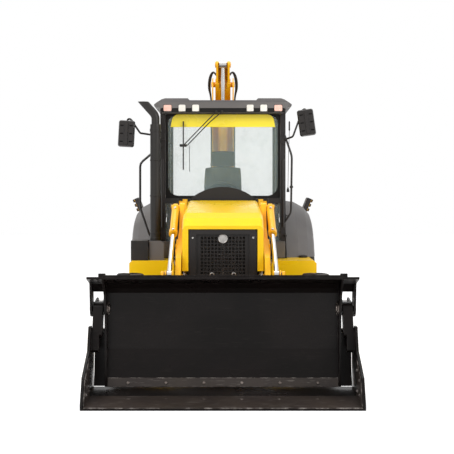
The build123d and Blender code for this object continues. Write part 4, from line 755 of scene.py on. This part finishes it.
def dress_bucket():
    """Bolt-on edges of the mouldboard and the clam, their bolts, end sheets and pin bosses."""
    edge, bolts = bmesh.new(), bmesh.new()
    bent_plate(edge, [(3.601, 0.0715), (3.581, 0.150)], (-BUCKET_END + 0.012, BUCKET_END - 0.012), -0.008,
               0.002)
    fit_piece("mouldboard_edge", edge, "blade_black", "loader_bucket")
    for k in range(6):
        across = BOLT_PITCH * (k - 2.5)
        turned(bolts, spot(3.598, 0.107, across), spot(1.0, 0.24) - spot(0, 0),
               [(0.015, 0.0), (0.015, 0.004), (0.011, 0.009), (0.005, 0.010)], 16)
    fit_piece("mouldboard_bolts", bolts, "worn_steel", "loader_bucket")
    sheets = bmesh.new()
    for side in SIDES:
        bent_plate(sheets, [(3.534, 0.545), (3.529, 0.400), (3.545, 0.220), (3.586, 0.078)],
                   (side * (BUCKET_END - 0.004), side * (BUCKET_HALF - 0.030)), -0.012, 0.0)
    fit_piece("mouldboard_end_sheets", sheets, "bucket_black", "loader_bucket")
    bosses = bmesh.new()
    for side in SIDES:
        inner = -outwards(side)
        origin = spot(3.560, 0.760, side * (BUCKET_END - 0.009))
        turned(bosses, origin, inner,
               [(0.060, 0.0), (0.060, 0.010), (0.040, 0.014), (0.036, 0.024), (0.020, 0.026)], 28)
        for k in range(6):
            angle = math.radians(60 * k + 30)
            head = origin + Vector((0.0, 0.048 * math.cos(angle), 0.048 * math.sin(angle))) + inner * 0.010
            hex_bolt(bosses, head, inner, 0.006)
    fit_piece("clam_pin_bosses", bosses, "worn_steel", "loader_bucket")

    floor_edge, studs = bmesh.new(), bmesh.new()
    bent_plate(floor_edge, [(3.895, 0.046), (4.100, 0.038), (4.222, 0.0145)], (-1.150, 1.150), 0.009, 0.003)
    fit_piece("clam_cutting_edge", floor_edge, "blade_black", "bucket_clam")
    for k in range(6):
        turned(studs, spot(4.000, 0.0505, 0.318 * (k - 2.5)), UPWARDS,
               [(0.016, 0.0), (0.016, 0.002), (0.011, 0.005), (0.005, 0.005)], 16)
    fit_piece("clam_edge_bolts", studs, "worn_steel", "bucket_clam")
    lips = bmesh.new()
    for side in SIDES:
        lip = ((3.860, 0.045), (4.205, 0.028), (4.120, 0.235), (3.860, 0.372))
        slab(lips, [spot(s, z, side * (BUCKET_HALF - 0.022)) for s, z in lip],
             -outwards(side) * 0.008, 0.003)
        for s, z in ((3.92, 0.10), (3.92, 0.28), (4.08, 0.10), (4.06, 0.22)):
            hex_bolt(lips, spot(s, z, side * (BUCKET_HALF - 0.030)), -outwards(side), 0.010)
    fit_piece("clam_side_edges", lips, "blade_black", "bucket_clam")


# ---- wheels
# body, forward place, tyre radius, hub face, bolt circle, rim radius, tyre width, tyre middle sideways
WHEELS = (("wheel_front", 2.175, 0.482, 0.917, 0.074, 0.240, 0.308, 0.960),
          ("wheel_rear", 0.0, 0.715, 0.872, 0.109, 0.370, 0.440, 0.885))
WHEEL_NUTS = 8
SIDEWALL_RIBS = 24
RIB_HALF = 0.004


def dress_wheels():
    """Hub caps, wheel nuts on their studs, and sidewall ribs, turning with each wheel."""
    for body, forward, radius, face, circle, rim, width, middle in WHEELS:
        for side, name in NAMED_SIDES:
            hub, ribs = bmesh.new(), bmesh.new()
            centre = spot(forward, radius, side * face)
            cap = ((0.62, 0.0), (0.60, 0.026), (0.50, 0.036), (0.20, 0.040))
            turned(hub, centre, outwards(side), [(circle * share, height) for share, height in cap], 32)
            for k in range(WHEEL_NUTS):
                angle = 2 * math.pi * (k + 0.5) / WHEEL_NUTS
                nut = centre + Vector((0.0, circle * math.cos(angle), circle * math.sin(angle)))
                hex_bolt(hub, nut, outwards(side), 0.011)
                turned(hub, nut + outwards(side) * 0.010, outwards(side),
                       [(0.006, 0.0), (0.006, 0.010), (0.004, 0.012)], 8)
            fit_piece(f"{body}_nuts_{name}", hub, "worn_steel", f"{body}_{name}")
            for k in range(SIDEWALL_RIBS):
                angle = 2 * math.pi * k / SIDEWALL_RIBS
                run = Vector((0.0, math.cos(angle), math.sin(angle)))
                turn = Vector((0.0, -math.sin(angle), math.cos(angle))) * RIB_HALF
                flank = spot(forward, radius, side * (middle + width / 2 - 0.014))
                near = flank + run * (rim + (radius - rim) * 0.30)
                far = flank + run * (rim + (radius - rim) * 0.52)
                slab(ribs, [near + turn, far + turn, far - turn, near - turn], outwards(side) * 0.013, 0.002)
            fit_piece(f"{body}_sidewall_ribs_{name}", ribs, "tyre_rubber", f"{body}_{name}")


# ---- seat
SEAT_MIDDLE = -0.010
BELLOWS_FOLDS = 7


def cushion(shape, centre, size, crown, turn=0.0, seams=(), steps=22):
    """Crowned cushion: a rounded block whose faces swell between its seams."""
    block = bmesh.new()
    bmesh.ops.create_cube(block, size=2.0)
    bmesh.ops.subdivide_edges(block, edges=block.edges, cuts=steps, use_grid_fill=True)
    lean = Matrix.Rotation(turn, 3, "X")
    for vert in block.verts:
        x, y, z = vert.co
        ball = Vector((x * math.sqrt(1 - y * y / 2 - z * z / 2 + y * y * z * z / 3),
                       y * math.sqrt(1 - z * z / 2 - x * x / 2 + z * z * x * x / 3),
                       z * math.sqrt(1 - x * x / 2 - y * y / 2 + x * x * y * y / 3)))
        soft = Vector((x, y, z)).lerp(ball, 0.22)
        swell = (1 - x * x) * (1 - y * y)
        groove = sum(math.exp(-((x - seam) / 0.035) ** 2) for seam in seams)
        share = 1 if z > 0 else 0.2 if z < 0 else 0
        height = soft.z + (crown * swell - 0.10 * groove * (1 - y ** 6)) * share
        vert.co = centre + lean @ Vector((soft.x * size[0], soft.y * size[1], height * size[2]))
    mesh = bpy.data.meshes.new("cushion_form")
    block.to_mesh(mesh)
    block.free()
    shape.from_mesh(mesh)
    bpy.data.meshes.remove(mesh)


def dress_seat():
    """Suspension seat: crowned and seamed cushions, armrests, bellows, trays and brackets."""
    padding = bmesh.new()
    cushion(padding, spot(SEAT_MIDDLE, 1.462, 0.0), (0.250, 0.250, 0.062), 0.10, 0.0, (-0.55, 0.55))
    cushion(padding, spot(-0.275, 1.825, 0.0), (0.240, 0.305, 0.055), 0.12, math.radians(90.0),
            (-0.58, 0.58))
    cushion(padding, spot(-0.275, 2.230, 0.0), (0.150, 0.100, 0.040), 0.10, math.radians(90.0))
    for side in SIDES:
        cushion(padding, spot(-0.120, 1.730, side * 0.2875), (0.0325, 0.180, 0.030), 0.05, 0.0, (), 8)
    seat = fit_piece("seat_cushions", padding, "seat_fabric")
    metal = bmesh.new()
    fold = rounded_outline(0.34, 0.32, 0.03)
    for k in range(BELLOWS_FOLDS):
        low = 1.090 + 0.044 * k
        slab(metal, [spot(SEAT_MIDDLE + y, low, x) for x, y in fold], UPWARDS * 0.022, 0.006)
        slab(metal, [spot(SEAT_MIDDLE + y * 0.92, low + 0.022, x * 0.92) for x, y in fold],
             UPWARDS * 0.022, 0.0)
    for width, depth, radius, low, height in ((0.42, 0.40, 0.04, 1.396, 0.018),
                                              (0.36, 0.34, 0.02, 1.062, 0.028)):
        tray = [spot(SEAT_MIDDLE + y, low, x) for x, y in rounded_outline(width, depth, radius)]
        slab(metal, tray, UPWARDS * height, 0.004)
    for side in SIDES:
        pipe(metal, [spot(-0.265, 1.60, side * 0.250), spot(-0.265, 1.695, side * 0.287),
                     spot(-0.02, 1.695, side * 0.287)], 0.012)
        pipe(metal, [spot(-0.278, 2.10, side * 0.07), spot(-0.278, 2.16, side * 0.07)], 0.008)
    for side in SIDES:
        pipe(metal, [spot(-0.215, 1.42, side * 0.235), spot(-0.300, 1.50, side * 0.235),
                     spot(-0.300, 1.70, side * 0.235)], 0.014)
    fit_piece("seat_frame", metal, "moulded_black")
    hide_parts("seat")


# ---- rails, exhaust and instruments
def dress_rails():
    """Entry rails with their clamps, exhaust bands and shroud, and the instrument panel."""
    rails = bmesh.new()
    pipe(rails, [spot(1.075, 2.340, -0.700), spot(1.085, 2.130, -0.948), spot(1.085, 1.620, -0.948),
                 spot(1.075, 1.285, -0.835), spot(1.060, 1.262, -0.700)], 0.013)
    pipe(rails, [spot(1.065, 2.480, 0.700), spot(1.085, 2.215, 0.790), spot(1.085, 1.560, 0.780),
                 spot(1.065, 1.440, 0.700)], 0.012)
    for up, across in ((1.86, 0.785), (1.30, 0.716)):
        turned(rails, spot(1.085, up - 0.012, across), UPWARDS, [(0.019, 0.0), (0.019, 0.024)], 12)
    fit_piece("entry_rails", rails, "cab_black")
    bands = bmesh.new()
    for up in (1.33, 1.75, 2.15, 2.48):
        turned(bands, spot(1.300, up, -0.757), UPWARDS,
               [(0.0620, 0.0), (0.0635, 0.002), (0.0635, 0.014), (0.0620, 0.016)], 32)
        hex_bolt(bands, spot(1.362, up + 0.008, -0.757), AHEAD, 0.006)
    fit_piece("exhaust_bands", bands, "moulded_black")
    shroud = bmesh.new()
    outline = ((-0.652, 0.945), (-0.652, 1.225), (-0.690, 1.257), (-0.826, 1.257), (-0.826, 0.945))
    slab(shroud, [spot(1.365, z, x) for x, z in outline], AHEAD * 0.022, 0.006)
    fit_piece("exhaust_shroud", shroud, "moulded_grey")
    panel = bmesh.new()
    slab(panel, [spot(0.950, 1.621 + 0.08 * (z + 0.5), x) for x, z in rounded_outline(0.30, 1.0, 0.02)],
         BEHIND * 0.05, 0.004)
    for across in (-0.09, -0.03, 0.03, 0.09):
        turned(panel, spot(0.898, 1.662, across), BEHIND,
               [(0.024, 0.0), (0.024, 0.004), (0.020, 0.006), (0.018, 0.003)], 24)
    for side in SIDES:
        pipe(panel, [spot(0.800, 1.725, side * 0.03), spot(0.780, 1.735, side * 0.15)], 0.006)
        turned(panel, spot(0.780, 1.735, side * 0.15), outwards(side),
               [(0.010, 0.0), (0.012, 0.015), (0.006, 0.024)], 12)
    fit_piece("instrument_panel", panel, "moulded_black")


# ---- digger
BOOM_FOOT, BOOM_TIP, CROWD_EYE = (-1.530, 0.720), (-1.300, 3.300), (-1.170, 3.560)
HOSE_LANE, HOSE_PITCH = 0.162, 0.030


def dress_digger():
    """Hose runs with their clamps and head loops, street pad rubbers, tail web and pin ends."""
    runs, clamps = bmesh.new(), bmesh.new()
    for side in SIDES:
        lane = side * HOSE_LANE
        for k in range(3):
            shift = HOSE_PITCH * k
            pipe(runs, [spot(-1.560 - shift, 1.00, lane), spot(-1.500 - shift, 2.00, lane),
                        spot(-1.390 - shift, 3.02, lane)], HOSE_RADIUS)
        for up, back in ((1.20, 1.548), (1.70, 1.518), (2.20, 1.478), (2.75, 1.420)):
            block = ((-0.050, -0.012), (0.050, -0.012), (0.050, 0.016), (-0.050, 0.016))
            slab(clamps, [spot(-back - HOSE_PITCH + x, up - 0.012, lane + z * side) for x, z in block],
                 UPWARDS * 0.024, 0.003)
    fit_piece("boom_hose_runs", runs, "hose_rubber", "boom")
    fit_piece("boom_hose_clamps", clamps, "frame_black", "boom")
    for side, name in NAMED_SIDES:
        routes = []
        for k in range(3):
            shift, ease = HOSE_PITCH * k, 0.01 * k
            loop = ((-1.390, 3.02, HOSE_LANE), (-1.370, 3.14, 0.166), (-1.350, 3.26, 0.205 - ease),
                    (-1.330, 3.42, 0.190 - ease), (-1.310, 3.50, 0.130), (-1.300, 3.44, 0.096))
            routes.append([spot(forward - shift, up, side * across) for forward, up, across in loop])
        made = hoses(f"boom_head_hoses_{name}", routes)
        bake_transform(made)
    # rubber blocks over the ribbed face of each street pad
    rise, lean = math.radians(68.0), math.radians(56.0)
    knee = (0.420 + 1.080 * math.cos(lean), 0.650 + 1.080 * math.sin(lean))
    blocks = [(-0.214, 0.214, 0.034, 0.092)]
    blocks += [(0.064 * k - 0.212, 0.064 * k - 0.172, 0.090, 0.114) for k in range(7)]
    for side, name in NAMED_SIDES:
        rubber = bmesh.new()
        for low, high, near, far in blocks:
            corners = [spot(-0.757, knee[1] + a * math.sin(rise) - b * math.cos(rise),
                            side * (knee[0] + a * math.cos(rise) + b * math.sin(rise)))
                       for a, b in ((low, near), (high, near), (high, far), (low, far))]
            slab(rubber, corners, BEHIND * 0.286, 0.004)
        fit_piece(f"street_pad_rubber_{name}", rubber, "hose_rubber", f"stabilizer_leg_{name}")
    web = bmesh.new()
    bent_plate(web, [(-1.335, 3.345), (-1.208, 3.598)], (-0.086, 0.086), 0.012, 0.0)
    # the tail web takes the arms' painted-shade copy of the machine yellow
    fit_piece("dipper_tail_web", web, "shaded_arm_yellow", "dipper")
    pins = {"boom": ((BOOM_FOOT, 0.152, 0.030), ((-1.447, 0.901), 0.152, 0.026)),
            "dipper": ((BOOM_TIP, 0.130, 0.030), (CROWD_EYE, 0.095, 0.026))}
    for body, places in pins.items():
        ends = bmesh.new()
        for (forward, up), across, radius in places:
            for side in SIDES:
                pin_cap(ends, spot(forward, up, side * across), outwards(side), radius)
        fit_piece(f"{body}_pin_ends", ends, "worn_steel", body)


def seen_directly(tree):
    """1 for rays of the camera, of mirrors and of glass, and 0 for rays that light the object."""
    path = add_node(tree, "ShaderNodeLightPath").outputs
    seen = math_node(tree, "MAXIMUM", path["Is Camera Ray"], path["Is Glossy Ray"])
    return math_node(tree, "MAXIMUM", seen, path["Is Transmission Ray"])


def make_studio():
    """White floor, white surroundings, one large key light and two fills."""
    bpy.ops.mesh.primitive_plane_add(size=FLOOR_SIZE)
    floor = bpy.context.object
    floor.name = "studio_floor"
    material, tree, shader = new_material("studio_white")
    shader.inputs["Base Color"].default_value = (0.9, 0.9, 0.9, 1.0)
    shader.inputs["Roughness"].default_value = 0.9
    shader.inputs["Emission Color"].default_value = (1.0, 1.0, 1.0, 1.0)
    glow = math_node(tree, "MULTIPLY", seen_directly(tree), 0.45)
    tree.links.new(glow, shader.inputs["Emission Strength"])
    floor.data.materials.append(material)

    world = bpy.data.worlds.new("studio_air")
    bpy.context.scene.world = world
    world.use_nodes = True
    sky = world.node_tree
    strength = ramp(sky, seen_directly(sky), 0.0, 1.0, 0.62, 1.0)
    background = sky.nodes["Background"]
    background.inputs["Color"].default_value = (1.0, 1.0, 1.0, 1.0)
    sky.links.new(strength, background.inputs["Strength"])

    # name, place, turn in degrees, width, height, power in watts
    for name, place, turn, width, height, power in (
            ("key_light", (-6.0, -9.0, 8.0), (52.0, 0.0, -34.0), 6.0, 4.0, 640.0),
            ("fill_light", (7.0, -8.0, 5.0), (62.0, 0.0, 41.0), 5.0, 4.0, 330.0),
            ("top_light", (0.0, 1.0, 9.0), (0.0, 0.0, 0.0), 7.0, 7.0, 360.0)):
        lamp = bpy.data.lights.new(name, "AREA")
        lamp.shape, lamp.size, lamp.size_y, lamp.energy = "RECTANGLE", width, height, power
        holder = bpy.data.objects.new(name, lamp)
        holder.location = place
        holder.rotation_euler = [math.radians(v) for v in turn]
        bpy.context.scene.collection.objects.link(holder)

    lens = bpy.data.cameras.new("studio_camera")
    lens.lens = FOCAL_LENGTH
    lens.shift_x, lens.shift_y = SHIFT
    camera = bpy.data.objects.new("studio_camera", lens)
    camera.location = EYE
    camera.rotation_euler = (math.radians(90.0), 0.0, 0.0)
    bpy.context.scene.collection.objects.link(camera)
    bpy.context.scene.camera = camera
    bpy.context.scene.view_settings.view_transform = "Standard"


dress_solids()
dress_roof()
dress_windshield()
dress_cab()
dress_hood()
dress_loader()
dress_bucket()
dress_wheels()
dress_seat()
dress_rails()
dress_digger()
make_studio()
